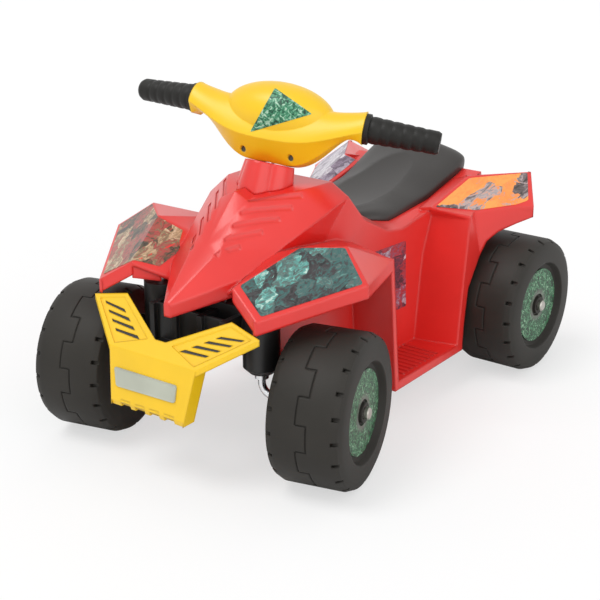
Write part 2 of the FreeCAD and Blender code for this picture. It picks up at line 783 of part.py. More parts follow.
pin_half = d.pedal_width / 2 + d.face_gap + d.wall
pedal_pin = rod(V(pedal_x - pin_half, pedal_y, pin_z), V(pedal_x + pin_half, pedal_y, pin_z),
                d.pedal_pin_radius)
switch_box = box(V(pedal_x - d.switch_width / 2, switch_y - d.switch_length / 2, d.foot_floor_bottom),
                 V(pedal_x + d.switch_width / 2, switch_y + d.switch_length / 2, switch_top))
tray_bottom = d.foot_floor_bottom - d.tray_thickness
tray_screws = [upward_screw(x, y, tray_bottom + d.tray_screw_recess, d.tray_screw_length)
               for x in (d.tray_screw_x, -d.tray_screw_x)
               for y in (front(d.tray_start + d.tray_screw_inset),
                         rear(-d.tray_rear_gap - d.tray_screw_inset))]
seat_screw_y = rear(-d.seat_screw_ahead)
seat_screw = upward_screw(0, seat_screw_y, section_at(seat_screw_y).crown - d.wall + d.seat_screw_bite,
                          d.seat_screw_length)

feature("body_shell", body_shell())
feature("tray_screws", Part.makeCompound(tray_screws))
feature("seat_screw", seat_screw)


# Wheels

def wheel_profile():
    """Outline of a moulded wheel: tyre wall, dished face and hub tube, open at the back."""
    half = "wheel_width / 2"
    tube = "axle_radius + running_clearance"
    web = half + " - rim_depth"
    deep = "wheel_radius - tyre_wall"
    return [
        ("-" + half, "back_opening_radius"),
        ("-" + half, "wheel_radius - tyre_shoulder"),
        ("-" + half + " + tyre_shoulder * 0.3", "wheel_radius - tyre_shoulder * 0.3"),
        ("-" + half + " + tyre_shoulder", "wheel_radius"),
        (half + " - tyre_shoulder", "wheel_radius"),
        (half + " - tyre_shoulder * 0.3", "wheel_radius - tyre_shoulder * 0.3"),
        (half, "wheel_radius - tyre_shoulder"),
        (half, "rim_radius"),
        (web, "rim_radius - tyre_wall"),
        (web, "hub_tube_radius"),
        (web + " + hub_boss_height", "hub_tube_radius"),
        (web + " + hub_boss_height", tube),
        ("-" + half + " + hub_tube_inset", tube),
        ("-" + half + " + hub_tube_inset", "hub_tube_radius"),
        (web + " - tyre_wall", "hub_tube_radius"),
        (web + " - tyre_wall", "rim_radius + tyre_wall"),
        (half + " - tyre_wall", "rim_radius + tyre_wall"),
        (half + " - tyre_wall", "wheel_radius - tyre_shoulder - tyre_wall / 3"),
        (half + " - tyre_shoulder - tyre_wall / 3", deep),
        ("-" + half + " + tyre_shoulder + tyre_wall / 3", deep),
        ("-" + half + " + tyre_wall", "wheel_radius - tyre_shoulder - tyre_wall / 3"),
        ("-" + half + " + tyre_wall", "back_opening_radius"),
    ]


def box_outline(centre, width, low, high):
    """Rectangle across the tread: place along the axle, width, and the radii it lies between."""
    return [(centre + " - " + width, low), (centre + " + " + width, low),
            (centre + " + " + width, high), (centre + " - " + width, high)]


def cut_slot(body, name, corners, width):
    """Slot straight across the rim, cut on both sides of the outline's plane."""
    slot = body.newObject("PartDesign::Pocket", name)
    slot.Profile = polygon_sketch(body, name + "_outline", "XZ_Plane", corners)
    slot.Midplane = True
    slot.setExpression("Length", bind(width))
    return slot


def cut_run(body, name, corners, turned_back):
    """Groove along part of the rim, one way round from the outline's plane."""
    run = body.newObject("PartDesign::Groove", name)
    run.Profile = polygon_sketch(body, name + "_outline", "XZ_Plane", corners)
    run.ReferenceAxis = (run.Profile[0], ["H_Axis"])
    run.setExpression("Angle", bind("180 / tread_steps"))
    run.Reversed = turned_back
    return run


def repeat_round(body, name, originals, count):
    pattern = body.newObject("PartDesign::PolarPattern", name)
    pattern.Originals = originals
    pattern.Axis = (originals[0].Profile[0], ["H_Axis"])
    pattern.Angle = 360
    pattern.setExpression("Occurrences", bind(count))
    body.Tip = pattern


def cut_tread(body):
    """Stepped groove round the middle of the tread and notches along both shoulders."""
    floor, air = "wheel_radius - tread_depth", "wheel_radius + tread_depth"
    half = "tread_groove / 2"
    runs = [cut_run(body, body.Label + "_run", box_outline("tread_swing", half, floor, air), False),
            cut_run(body, body.Label + "_return", box_outline("-tread_swing", half, floor, air), True)]
    repeat_round(body, body.Label + "_runs", runs, "tread_steps")
    step = cut_slot(body, body.Label + "_step",
                    box_outline("0 * tread_swing", "tread_swing + " + half, floor, air),
                    "tread_groove")
    repeat_round(body, body.Label + "_steps", [step], "2 * tread_steps")
    edge = "wheel_width / 2 - notch_length / 2"
    deep = "wheel_radius - tyre_shoulder * 0.3 - notch_depth"
    notches = [cut_slot(body, body.Label + "_notch", box_outline(edge, "notch_length / 2", deep, air),
                        "notch_width"),
               cut_slot(body, body.Label + "_inner_notch",
                        box_outline("-(" + edge + ")", "notch_length / 2", deep, air), "notch_width")]
    repeat_round(body, body.Label + "_notches", notches, "notch_count")


DISC_PROFILE = [
    ("wheel_width / 2 - rim_depth", "disc_hole_radius"),
    ("wheel_width / 2 - rim_depth", "disc_radius"),
    ("wheel_width / 2 - rim_depth + disc_thickness", "disc_radius"),
    ("wheel_width / 2 - rim_depth + disc_thickness", "disc_hole_radius"),
]

CAP_PROFILE = [
    ("0", "axle_radius"),
    ("0", "cap_radius"),
    ("cap_length - cap_wall", "cap_radius"),
    ("cap_length", "cap_radius - cap_wall"),
    ("cap_length", "0"),
    ("cap_length - cap_wall", "0"),
    ("cap_length - cap_wall", "axle_radius"),
]


def hub_frame(side, y):
    """Frame at a wheel's centre with +X pointing outwards."""
    outward = turn(V(0, 0, 1), 0 if side > 0 else 180)
    return shift(side * half_track, y, 0).multiply(outward)


for side, name in ((1, "left"), (-1, "right")):
    front_frame = steered(side * kingpin_x).multiply(hub_frame(side, front_axle_y))
    rear_frame = LIFT.multiply(hub_frame(side, rear_axle_y))
    for end, frame in (("front", front_frame), ("rear", rear_frame)):
        label = "%s_%s" % (end, name)
        cut_tread(revolved(label + "_wheel", wheel_profile(), frame))
        revolved(label + "_hub_disc", DISC_PROFILE, frame)
        revolved(label + "_axle_cap", CAP_PROFILE, frame.multiply(shift(hub_face + d.face_gap, 0, 0)))


# Front steering linkage

def swept_rod(points, radius, bend):
    """Round bar along straight runs joined by tangent arcs of one bend radius."""
    solids = []
    start = points[0]
    for before, corner, after in zip(points, points[1:], points[2:]):
        back = (before - corner).normalize()
        ahead = (after - corner).normalize()
        half = back.getAngle(ahead) / 2
        into = corner + back * (bend / math.tan(half))
        out = corner + ahead * (bend / math.tan(half))
        centre = corner + (back + ahead).normalize() * (bend / math.sin(half))
        axis = (into - centre).cross(out - centre).normalize()
        disc = Part.Face(Part.Wire(Part.Circle(into, back, radius).toShape()))
        solids.append(rod(start, into, radius))
        solids.append(disc.revolve(centre, axis, 180 - 2 * math.degrees(half)))
        start = out
    solids.append(rod(start, points[-1], radius))
    return fused(solids)


def kingpin(side):
    """Bent steel rod: upright in its housing, then out through the wheel."""
    x = side * kingpin_x
    bar = swept_rod([V(x, front_axle_y, kingpin_top), V(x, front_axle_y, 0),
                     V(side * axle_end, front_axle_y, 0)], d.axle_radius, d.kingpin_bend)
    collar_radius = d.axle_radius + d.tyre_wall
    upper = rod(V(x, front_axle_y, d.housing_bottom - d.face_gap - d.collar_width),
                V(x, front_axle_y, d.housing_bottom - d.face_gap), collar_radius)
    stop_x = half_track - d.wheel_width / 2 + d.hub_tube_inset - d.face_gap
    stop = rod(V(side * (stop_x - d.collar_width), front_axle_y, 0),
               V(side * stop_x, front_axle_y, 0), collar_radius)
    return fused([bar, upper, stop])


def slotted_bar(start, end, radius, thickness):
    """Flat lever with round ends lying in the plane of its two centres."""
    run = (end - start).normalize()
    across = V(0, 0, 1).cross(run) * radius
    strip = prism([start + across, start - across, end - across, end + across], V(0, 0, thickness))
    ends = [Part.makeCylinder(radius, thickness, centre) for centre in (start, end)]
    return fused([strip] + ends)


def steering_arm(side):
    base = V(side * kingpin_x, front_axle_y, arm_bottom)
    tip = base + V(0, d.arm_reach, 0)
    lever = slotted_bar(base, tip, d.arm_width / 2, d.arm_thickness)
    pin_height = d.arm_thickness + d.face_gap + d.tie_bar_thickness + d.link_pin_radius
    lever = lever.fuse(Part.makeCylinder(d.link_pin_radius, pin_height, tip)).removeSplitter()
    return lever.cut(Part.makeCylinder(d.axle_radius, d.arm_thickness, base))


def tie_bar():
    """Cross bar between the steering arms, with a tongue back to the column's crank."""
    z = arm_bottom + d.arm_thickness + d.face_gap
    left = V(kingpin_x, front(d.arm_reach), z)
    right = V(-kingpin_x, front(d.arm_reach), z)
    crank_pin = LEAN_LOCAL.multVec(V(0, d.arm_reach, d.column_bottom))
    lean = math.radians(d.column_lean)
    drop = crank_pin.z - (z + d.tie_bar_thickness / 2)
    tongue = V(0, crank_pin.y - drop * math.tan(lean), z)
    width = d.tie_bar_width / 2
    bar = slotted_bar(left, right, width, d.tie_bar_thickness)
    tail = slotted_bar(V(0, left.y, z), tongue, width, d.tie_bar_thickness)
    bar = bar.fuse(tail).removeSplitter()
    for end in (left, right):
        bar = bar.cut(Part.makeCylinder(d.link_pin_radius + d.running_clearance, d.tie_bar_thickness, end))
    return bar.cut(Part.makeCylinder(d.link_pin_radius + d.crank_slot_play, d.tie_bar_thickness, tongue))


for side, name in ((1, "left"), (-1, "right")):
    feature(name + "_kingpin", kingpin(side), steered(side * kingpin_x))
    feature(name + "_steering_arm", steering_arm(side), steered(side * kingpin_x))

arm_tip = turn(V(0, 0, 1), d.steer_rest).multVec(V(0, d.arm_reach, 0))
feature("tie_bar", tie_bar(), LIFT.multiply(shift(arm_tip.x, arm_tip.y - d.arm_reach, 0)))


# Column, collar and handlebar, drawn about the column

def bar_path():
    straight = d.bar_straight / 2
    sweep = math.radians(d.bar_sweep)
    reach = d.grip_start + d.grip_length - d.grip_end
    end = V(straight + reach * math.cos(sweep), reach * math.sin(sweep), d.bar_height)
    bend = V(straight, 0, d.bar_height)
    return [V(-end.x, end.y, end.z), V(-bend.x, bend.y, bend.z), bend, end]


bar_solid = swept_rod(bar_path(), d.bar_radius, d.bar_bend)
bar_hole = swept_rod(bar_path(), d.bar_radius - d.bar_wall, d.bar_bend)


def steering_column():
    low = d.column_bottom
    shaft = rod(V(0, 0, low), V(0, 0, d.bar_height), d.column_radius)
    crank = slotted_bar(V(0, 0, low), V(0, d.arm_reach, low), d.arm_width / 2, d.crank_thickness)
    pin = rod(V(0, d.arm_reach, low + d.crank_thickness), V(0, d.arm_reach, low - d.crank_pin_length),
              d.link_pin_radius)
    return fused([shaft, crank, pin]).cut(bar_solid)


def steering_collar():
    """Lobed neck between the deck and the handlebar, with the tube that guides the column."""
    lobes = [Part.makeCone(d.collar_foot_radius, d.collar_head_radius, d.collar_foot + d.collar_height,
                           V(d.collar_lobe_spread * x, d.collar_lobe_spread * y, -d.collar_foot))
             for x, y in ((1, 0), (-1, 0), (0, 1), (0, -1))]
    neck = fused(lobes)
    neck.Placement = LEAN_LOCAL
    neck = neck.cut(core_solid(0, 0))
    guide = rod(V(0, 0, -d.collar_foot - d.guide_drop), V(0, 0, d.collar_height),
                d.column_radius + d.guide_wall)
    bore = rod(V(0, 0, -2 * d.collar_foot - d.guide_drop), V(0, 0, 2 * d.collar_height),
               d.column_radius + d.running_clearance)
    guide.Placement = LEAN_LOCAL
    bore.Placement = LEAN_LOCAL
    return neck.fuse(guide).removeSplitter().cut(bore)


# Outline of the handlebar cover at each distance from the column: lower front edge, front crease,
# then over the top to the back crease and the lower rear edge
COVER_SECTIONS = (
    (0, ((-8, 15.4), (-34, 43), (-27, 72), (-8, 97), (14, 97), (32, 80), (38, 45), (22, 15.4))),
    (40, ((-8, 17.4), (-34, 45), (-27, 73), (-8, 96), (12, 96), (31, 80), (36, 46), (22, 18.4))),
    (76, ((-10, 42), (-30, 54), (-24, 77), (-8, 94), (8, 95), (24, 86), (28, 66), (16, 46))),
)
COVER_END = ((-10, 60), (-20, 74), (-17, 90), (-6, 102), (8, 102), (18, 91), (21, 76), (11, 60))


def cover_wire(points, inset):
    """Closed outline drawn inside the given one: a curve over the top and three straight lower edges."""
    middle = sum(points, V(0, 0, 0)) / len(points)
    drawn = [point + (middle - point).normalize() * inset for point in points]
    over = Part.BSplineCurve()
    over.interpolate(drawn[1:-1])
    below = [Part.LineSegment(a, b).toShape() for a, b in zip(drawn[-2:] + drawn[:1], drawn[-1:] + drawn[:2])]
    return Part.Wire([over.toShape()] + below)


def ellipsoid(centre, half_x, half_y, half_z):
    scale = FreeCAD.Matrix()
    scale.scale(half_x, half_y, half_z)
    ball = Part.makeSphere(1).transformGeometry(scale)
    ball.translate(centre)
    return ball


def cover_solid(inset, stretch):
    """Swept-back bar of the cover with the round cap on its middle."""
    sweep = math.radians(d.bar_sweep)
    reach = d.bar_straight / 2 + (d.grip_start - d.face_gap) / math.cos(sweep) + stretch
    half = [[V(x, y, z) for y, z in outline] for x, outline in COVER_SECTIONS]
    half.append([V(reach - y * math.tan(sweep), y, z) for y, z in COVER_END])
    other = [[V(-p.x, p.y, p.z) for p in outline] for outline in reversed(half[1:])]
    bar = Part.makeLoft([cover_wire(outline, inset) for outline in other + half], True, False)
    cap = ellipsoid(V(0, d.cap_behind, d.cap_middle), d.cap_half_width - inset, d.cap_half_depth - inset,
                    d.cap_half_height - inset)
    return bar.fuse(cap)


def handlebar_covers():
    """Front and rear shells of the handlebar, with ribs on the bar and screw posts."""
    outer = cover_solid(0, 0)
    inside = []
    for x in (d.cover_rib_x, -d.cover_rib_x):
        inside.append(box(V(x - d.cover_wall / 2, -100, 0), V(x + d.cover_wall / 2, 100, 150)))
    for x in (d.cover_screw_x, -d.cover_screw_x):
        inside.append(rod(V(x, -100, d.cover_screw_z), V(x, 100, d.cover_screw_z),
                          d.screw_head_radius + d.cover_wall))
    shell = outer.cut(cover_solid(d.cover_inset, d.cover_wall).cut(inside))
    cuts = [bar_solid, rod(V(0, 0, 0), V(0, 0, d.bar_height), d.column_radius + d.face_gap)]
    for x in (d.cover_screw_x, -d.cover_screw_x):
        cuts.append(screw(x))
        cuts.append(rod(V(x, -100, d.cover_screw_z), V(x, d.cover_screw_seat, d.cover_screw_z),
                        d.screw_head_radius))
    shell = shell.cut(cuts)
    ahead = box(V(-300, -200, -50), V(300, d.cover_split, 200))
    return shell.common(ahead), shell.cut(ahead)


def screw(x):
    """Cover screw from the front, its head sunk in the front shell."""
    head = V(x, d.cover_screw_seat, d.cover_screw_z)
    shank = rod(head, head + V(0, d.cover_screw_length, 0), d.screw_radius)
    cap = rod(head - V(0, d.screw_head_height, 0), head, d.screw_head_radius)
    return fused([shank, cap])


def grip_profile():
    """Tapering sleeve with low waves, a guard ring at its inner end and a closed outer end."""
    run = "(grip_length - grip_flange_width - 2 * grip_end)"
    corners = [("0", "bar_radius"), ("0", "grip_flange_radius"), ("grip_flange_width", "grip_flange_radius")]
    waves = int(d.grip_ribs)
    for i in range(waves):
        for place, height in ((0.1, " - grip_rib"), (0.4, ""), (0.8, "")):
            share = round((i + place) / waves, 4)
            corners.append(("grip_flange_width + %s * %s" % (share, run),
                            "grip_radius - grip_taper * %s%s" % (share, height)))
    corners += [("grip_length - grip_end", "grip_radius - grip_taper"),
                ("grip_length", "grip_radius - grip_taper - grip_end / 2"),
                ("grip_length", "0"), ("grip_length - grip_end", "0"),
                ("grip_length - grip_end", "bar_radius")]
    return corners


front_cover, rear_cover = handlebar_covers()
feature("steering_column", steering_column(), STEER)
feature("steering_collar", steering_collar())
feature("handlebar_tube", bar_solid.cut(bar_hole), STEER)
feature("handlebar_front_cover", front_cover, STEER)
feature("handlebar_rear_cover", rear_cover, STEER)
feature("handlebar_screws", Part.makeCompound([screw(d.cover_screw_x), screw(-d.cover_screw_x)]), STEER)
for side, name in ((1, "left"), (-1, "right")):
    outward = turn(V(0, 0, 1), d.bar_sweep if side > 0 else 180 - d.bar_sweep)
    bend = shift(side * d.bar_straight / 2, 0, d.bar_height).multiply(outward)
    revolved(name + "_grip", grip_profile(), STEER.multiply(bend).multiply(shift(d.grip_start, 0, 0)))


# Front chassis and bumper

bumper_front = -overall_length / 2


def front_chassis():
    """Black cross-member: two kingpin housings, a beam, a ribbed front panel and tongues for the bumper."""
    beam_top = d.housing_top - d.wall
    half = kingpin_x
    solids = [box(V(-half, front(-d.beam_half), d.beam_bottom), V(half, front(d.beam_half), beam_top))]
    for x in (half, -half):
        solids.append(rod(V(x, front_axle_y, d.housing_bottom + 8), V(x, front_axle_y, d.housing_top),
                          d.housing_radius))
        solids.append(Part.makeCone(d.housing_radius - 8, d.housing_radius, 8,
                                    V(x, front_axle_y, d.housing_bottom)))
    panel = d.chassis_panel_half
    low, high = d.chassis_panel_bottom, d.chassis_panel_top
    face = front(-d.chassis_panel_ahead)
    solids.append(box(V(-panel, face, low), V(panel, face + d.wall, high)))
    for share in (-1.0, -0.36, 0.36, 1.0):
        x = share * (panel - d.wall)
        solids.append(box(V(x - d.wall, face - d.chassis_rib, low),
                          V(x + d.wall, front(-d.beam_half + d.wall), high)))
    for x in (d.tongue_x, -d.tongue_x):
        solids.append(box(V(x - d.tongue_half, bumper_face_y(d.tongue_bottom + d.tongue_height),
                            d.tongue_bottom),
                          V(x + d.tongue_half, face + d.wall, d.tongue_bottom + d.tongue_height)))
    chassis = fused(solids)
    cuts = []
    for x in (half, -half):
        cuts.append(rod(V(x, front_axle_y, 0), V(x, front_axle_y, d.housing_top + 10), bore_radius))
    for x in (d.boss_x, -d.boss_x):
        cuts.append(rod(V(x, front(-d.boss_ahead), 0), V(x, front(-d.boss_ahead), beam_top), d.screw_radius))
    cuts.append(bumper_panel())
    return chassis.cut(cuts)


def bumper_face_y(z):
    """Y of the bumper panel's front face at height z."""
    share = (z - d.bumper_panel_bottom) / (d.bumper_panel_top - d.bumper_panel_bottom)
    return bumper_front + d.bumper_lean * share


def bumper_panel():
    top, bottom = d.bumper_panel_top, d.bumper_panel_bottom
    outline = [V(d.bumper_top_half, bumper_face_y(top), top), V(-d.bumper_top_half, bumper_face_y(top), top),
               V(-d.bumper_bottom_half, bumper_face_y(bottom), bottom),
               V(d.bumper_bottom_half, bumper_face_y(bottom), bottom)]
    return prism(outline, V(0, d.bumper_wall, 0))


# Corners of one slot and of the sunk field round the slots, as shares of the arm's width and length
SLOT = ((0.30, 0.0), (0.74, 0.22), (0.74, 0.29), (0.30, 0.10))
SLOT_START = 0.06
SLOT_PITCH = 0.185
FIELD = ((0.14, 0.03), (0.88, 0.03), (0.88, 0.93), (0.14, 0.93))


def front_bumper():
    """Yellow bumper: leaning panel with returns, and two slotted arms to the fenders."""
    top, bottom = d.bumper_panel_top, d.bumper_panel_bottom
    y_top, y_low = bumper_face_y(top), bumper_face_y(bottom)
    corner_x, low_x = d.bumper_top_half, d.bumper_bottom_half
    half = [V(x, y_top + back, top + d.bumper_arm_slope * back) for x, back in (
        (corner_x, 0), (d.bumper_outer_x, d.bumper_outer_back), (d.bumper_inner_x, d.bumper_inner_back),
        (d.bumper_fork_x, d.bumper_fork_back))]
    near, outer, inner, fork = half

    def on_arm(shares, rise):
        points = []
        for across, along in shares:
            inside = fork + (inner - fork) * along
            outside = near + (outer - near) * along
            points.append(inside + (outside - inside) * across + V(0, 0, rise))
        return points
    arms = prism(half + [V(-p.x, p.y, p.z) for p in reversed(half)], V(0, 0, -d.bumper_arm_depth))
    solids = [bumper_panel(), arms]
    outline = [V(corner_x, y_top, top), V(low_x, y_low, bottom),
               V(low_x, y_low + d.bumper_return, bottom), V(corner_x, y_top + d.bumper_return, top)]
    solids += both_sides(prism(outline, V(-d.bumper_wall, 0, 0)))
    solids.append(box(V(-low_x, y_low, bottom), V(low_x, y_low + d.bumper_return, bottom + d.bumper_wall)))
    cuts = both_sides(prism(on_arm(FIELD, d.bumper_field), V(0, 0, -2 * d.bumper_field)))
    for i in range(int(d.bumper_slots)):
        shares = [(across, along + SLOT_START + SLOT_PITCH * i) for across, along in SLOT]
        cuts += both_sides(prism(on_arm(shares, d.bumper_arm_depth), V(0, 0, -3 * d.bumper_arm_depth)))
    for i in range(int(d.bumper_vents)):
        middle = (i + 0.5 - d.bumper_vents / 2) * d.bumper_vent_pitch
        vent = box(V(-d.bumper_vent_width / 2, 0, -d.bumper_wall),
                   V(d.bumper_vent_width / 2, d.bumper_vent_depth, 2 * d.bumper_wall))
        cuts.append(vent.translated(V(middle, y_low + d.bumper_vent_back, bottom)))
    toe = bottom + d.bumper_foot
    slope = [V(-low_x, y_low - d.bumper_wall, bottom - 1), V(-low_x, y_low + d.bumper_foot / 2, bottom - 1),
             V(-low_x, bumper_face_y(toe), toe), V(-low_x, y_low - d.bumper_wall, toe)]
    cuts.append(prism(slope, V(2 * low_x, 0, 0)))
    return fused(solids).cut(cuts)


feature("front_chassis", front_chassis())
feature("front_bumper", front_bumper())


chassis_screws = [upward_screw(x, front(-d.boss_ahead), d.beam_bottom,
                               d.housing_top - d.wall - d.beam_bottom + d.boss_bore)
                  for x in (d.boss_x, -d.boss_x)]
feature("chassis_screws", Part.makeCompound(chassis_screws))


# Seat

def saddle_wire(behind, half, edge, crown):
    """Saddle outline: a curve over the top, closed by a straight lower edge inside the body."""
    y = rear(behind)
    low = section_at(y).crown
    foot = V(half - d.seat_tuck, y, low - d.seat_sunk)
    side = [foot, V(half, y, low + 0.35 * edge), V(half - d.seat_round / 3, y, low + edge - d.seat_round / 2),
            V(half - d.seat_round, y, low + edge), V(0.6 * half, y, low + edge + 0.55 * (crown - edge))]
    other = [V(-p.x, p.y, p.z) for p in side]
    over = Part.BSplineCurve()
    over.interpolate(side + [V(0, y, low + crown)] + other[::-1])
    return Part.Wire([over.toShape(), Part.LineSegment(other[0], foot).toShape()])


def seat():
    """Moulded saddle, rising backwards, with an oval dish and an underside that follows the body's top."""
    saddle = Part.makeLoft([saddle_wire(*values) for values in table("saddle")], True, False)
    dish = ellipsoid(V(0, 0, 0), d.seat_dish_half_width, d.seat_dish_half_length, d.seat_dish_half_height)
    place = shift(0, rear(-d.seat_dish_ahead), d.seat_dish_height)
    dish.Placement = place.multiply(turn(V(1, 0, 0), d.seat_dish_tilt))
    return saddle.cut([core_solid(0, 0), dish, seat_screw])


feature("seat", seat())


# Rear axle and drive train of the right rear wheel

wall_inside = d.seat_mid_waist_x - d.wall
case_floor = -wall_inside + d.case_wall
layer_step = d.gear_width + d.gear_layer_gap
cover_x = case_floor + 3 * layer_step + d.gear_layer_gap
motor_x = cover_x + d.case_wall
centre_distance = d.gear_module * (d.gear_teeth + d.pinion_teeth) / 2
tilt = math.radians(d.gear_line_tilt)
gear_run = V(0, -math.cos(tilt), math.sin(tilt)) * centre_distance


def shaft_centre(step):
    """Point on the line of shafts, counted from the rear axle."""
    return V(0, rear_axle_y, 0) + gear_run * step


def layer_x(layer):
    return case_floor + d.gear_layer_gap + layer * layer_step


def involute(radius, base):
    angle = math.acos(min(1.0, base / radius))
    return math.tan(angle) - angle


def gear(teeth, profile_shift, tooth_angle, centre, x, width):
    """Spur gear with involute flanks, one tooth centred on tooth_angle seen along the axle."""
    m = d.gear_module
    pressure = math.radians(20)
    pitch = m * teeth / 2
    base = pitch * math.cos(pressure)
    tip = pitch + m * (1 + profile_shift)
    root = pitch - m * (1.25 - profile_shift)
    thickness = m * (math.pi / 2 + 2 * profile_shift * math.tan(pressure)) - d.gear_backlash
    at_pitch = thickness / (2 * pitch) + involute(pitch, base)
    flank = [root] + [max(root, base) + (tip - max(root, base)) * share for share in (0.15, 0.45, 0.75, 1.0)]
    half = [(r, at_pitch - involute(max(r, base), base)) for r in flank]
    points = []
    for i in range(int(teeth)):
        middle = tooth_angle + 2 * math.pi * i / teeth
        side = [(r, middle - a) for r, a in half] + [(r, middle + a) for r, a in reversed(half)]
        points += [centre + V(0, r * math.cos(a), r * math.sin(a)) for r, a in side]
    points = [V(x, p.y, p.z) for p in points]
    return prism(points, V(width, 0, 0))


mesh_angle = math.atan2(gear_run.z, gear_run.y)
PINION_SHIFT = 0.3


def wheel_gear(step, layer):
    """Large gear on a shaft, with a tooth facing the next shaft."""
    return gear(d.gear_teeth, -PINION_SHIFT, mesh_angle, shaft_centre(step), layer_x(layer), d.gear_width)


def pinion(step, layer, width):
    """Small gear on a shaft, with a tooth gap facing the shaft before it."""
    facing = mesh_angle + math.pi + math.pi / d.pinion_teeth
    return gear(d.pinion_teeth, PINION_SHIFT, facing, shaft_centre(step), layer_x(layer), width)


def along_x(step, start, end, radius):
    centre = shaft_centre(step)
    return rod(V(start, centre.y, centre.z), V(end, centre.y, centre.z), radius)


def drive_gear():
    sleeve_end = -(half_track - d.wheel_width / 2 + d.hub_tube_inset)
    sleeve = along_x(0, sleeve_end, layer_x(0), d.sleeve_radius)
    return fused([wheel_gear(0, 0), sleeve]).cut(along_x(0, -axle_end, axle_end, bore_radius))


def idler(step, layer):
    """Large gear with the smaller gear that drives it down the line, turning on one pin."""
    pair = fused([wheel_gear(step, layer), pinion(step, layer - 1, layer_step)])
    return pair.cut(along_x(step, -axle_end, axle_end, d.gear_pin_radius + d.running_clearance))


def motor_pinion():
    shaft = along_x(3, layer_x(2), motor_x + d.motor_length / 3, d.motor_shaft_radius)
    return fused([pinion(3, 2, d.gear_width), shaft])


def gearbox_outline(margin, start, end):
    """Stadium round the line of shafts, between two distances along the axle."""
    radius = d.gear_module * (d.gear_teeth / 2 + 1) + margin
    first, last = shaft_centre(0), shaft_centre(3)
    up = V(0, math.sin(tilt), math.cos(tilt)) * radius
    corners = [V(start, p.y, p.z) for p in (first + up, last + up, last - up, first - up)]
    ends = [along_x(step, start, end, radius) for step in (0, 3)]
    return fused([prism(corners, V(end - start, 0, 0))] + ends)


def gearbox_case():
    outer = gearbox_outline(d.case_play + d.case_wall, -wall_inside, cover_x)
    room = gearbox_outline(d.case_play, case_floor, cover_x)
    cuts = [room, along_x(0, -axle_end, axle_end, d.sleeve_radius + 1)]
    cuts += [along_x(step, -wall_inside, cover_x, d.gear_pin_radius) for step in (1, 2)]
    return outer.cut(cuts)


def gearbox_cover():
    lid = gearbox_outline(d.case_play + d.case_wall, cover_x, motor_x)
    cuts = [along_x(0, cover_x, motor_x, d.axle_radius),
            along_x(3, cover_x, motor_x, 2 * d.motor_shaft_radius)]
    cuts += [along_x(step, cover_x, motor_x, d.gear_pin_radius) for step in (1, 2)]
    return lid.cut(cuts)


def motor():
    end = motor_x + d.motor_length
    can = fused([along_x(3, motor_x, end, d.motor_radius), along_x(3, end, end + 3, d.motor_radius / 3)])
    can = can.cut(along_x(3, motor_x, motor_x + d.motor_length / 2,
                          d.motor_shaft_radius + d.running_clearance))
    return can


def rear_axle():
    stop = half_track - d.wheel_width / 2 + d.hub_tube_inset - d.face_gap
    return fused([along_x(0, -axle_end, axle_end, d.axle_radius),
                  along_x(0, stop - d.collar_width, stop, d.axle_radius + d.tyre_wall)])


def axle_bush():
    """Flanged bush in the left wall of the body."""
    outer = d.seat_mid_waist_x
    bush = fused([along_x(0, wall_inside, outer + d.bush_flange_width, d.bush_radius),
                  along_x(0, wall_inside - d.bush_flange_width, wall_inside, d.bush_flange_radius)])
    return bush.cut(along_x(0, -axle_end, axle_end, d.axle_radius))


motor_shape = motor()
feature("rear_axle", rear_axle())
feature("axle_bush", axle_bush())
feature("drive_gear", drive_gear())
feature("second_idler", idler(1, 1))
feature("first_idler", idler(2, 2))
feature("motor_pinion", motor_pinion())
feature("motor", motor_shape)
feature("gearbox_case", gearbox_case())
feature("gearbox_cover", gearbox_cover())
gear_pins = [along_x(step, -wall_inside, motor_x, d.gear_pin_radius) for step in (1, 2)]
feature("gear_pins", Part.makeCompound(gear_pins))


# Battery, its tray and the wiring

tray_top = d.foot_floor_bottom
battery_y = mid_axle_y + d.battery_behind
block_top = tray_top + d.battery_height + d.terminal_height

tray_end = "wheelbase - tray_rear_gap"
tray = padded("underbody_tray", "XY_Plane",
              [("tray_half", "tray_start"), ("tray_half", tray_end),
               ("-tray_half", tray_end), ("-tray_half", "tray_start")],
              "tray_thickness", LIFT.multiply(shift(0, front_axle_y, tray_bottom)))
front_row, rear_row = "tray_start + tray_screw_inset", tray_end + " - tray_screw_inset"
tray_holes = [(side + "tray_screw_x", row) for side in ("", "-") for row in (front_row, rear_row)]
drilled(tray, "screw_holes", tray_holes, "screw_radius")
drilled(tray, "screw_recesses", tray_holes, "screw_head_radius + face_gap", "tray_screw_recess")
battery = padded("battery", "XY_Plane",
                 [("battery_width / 2", "battery_length / 2"), ("-battery_width / 2", "battery_length / 2"),
                  ("-battery_width / 2", "-battery_length / 2"),
                  ("battery_width / 2", "-battery_length / 2")],
                 "battery_height", LIFT.multiply(shift(0, battery_y, tray_top)))
block = polygon_sketch(battery, "terminal_block_outline", "XY_Plane",
                       [("terminal_half", "terminal_width / 2"), ("-terminal_half", "terminal_width / 2"),
                        ("-terminal_half", "-terminal_width / 2"), ("terminal_half", "-terminal_width / 2")])
block.setExpression("AttachmentOffset.Base.z", bind("battery_height"))
block_pad = battery.newObject("PartDesign::Pad", "terminal_block")
block_pad.Profile = block
block_pad.setExpression("Length", bind("terminal_height"))


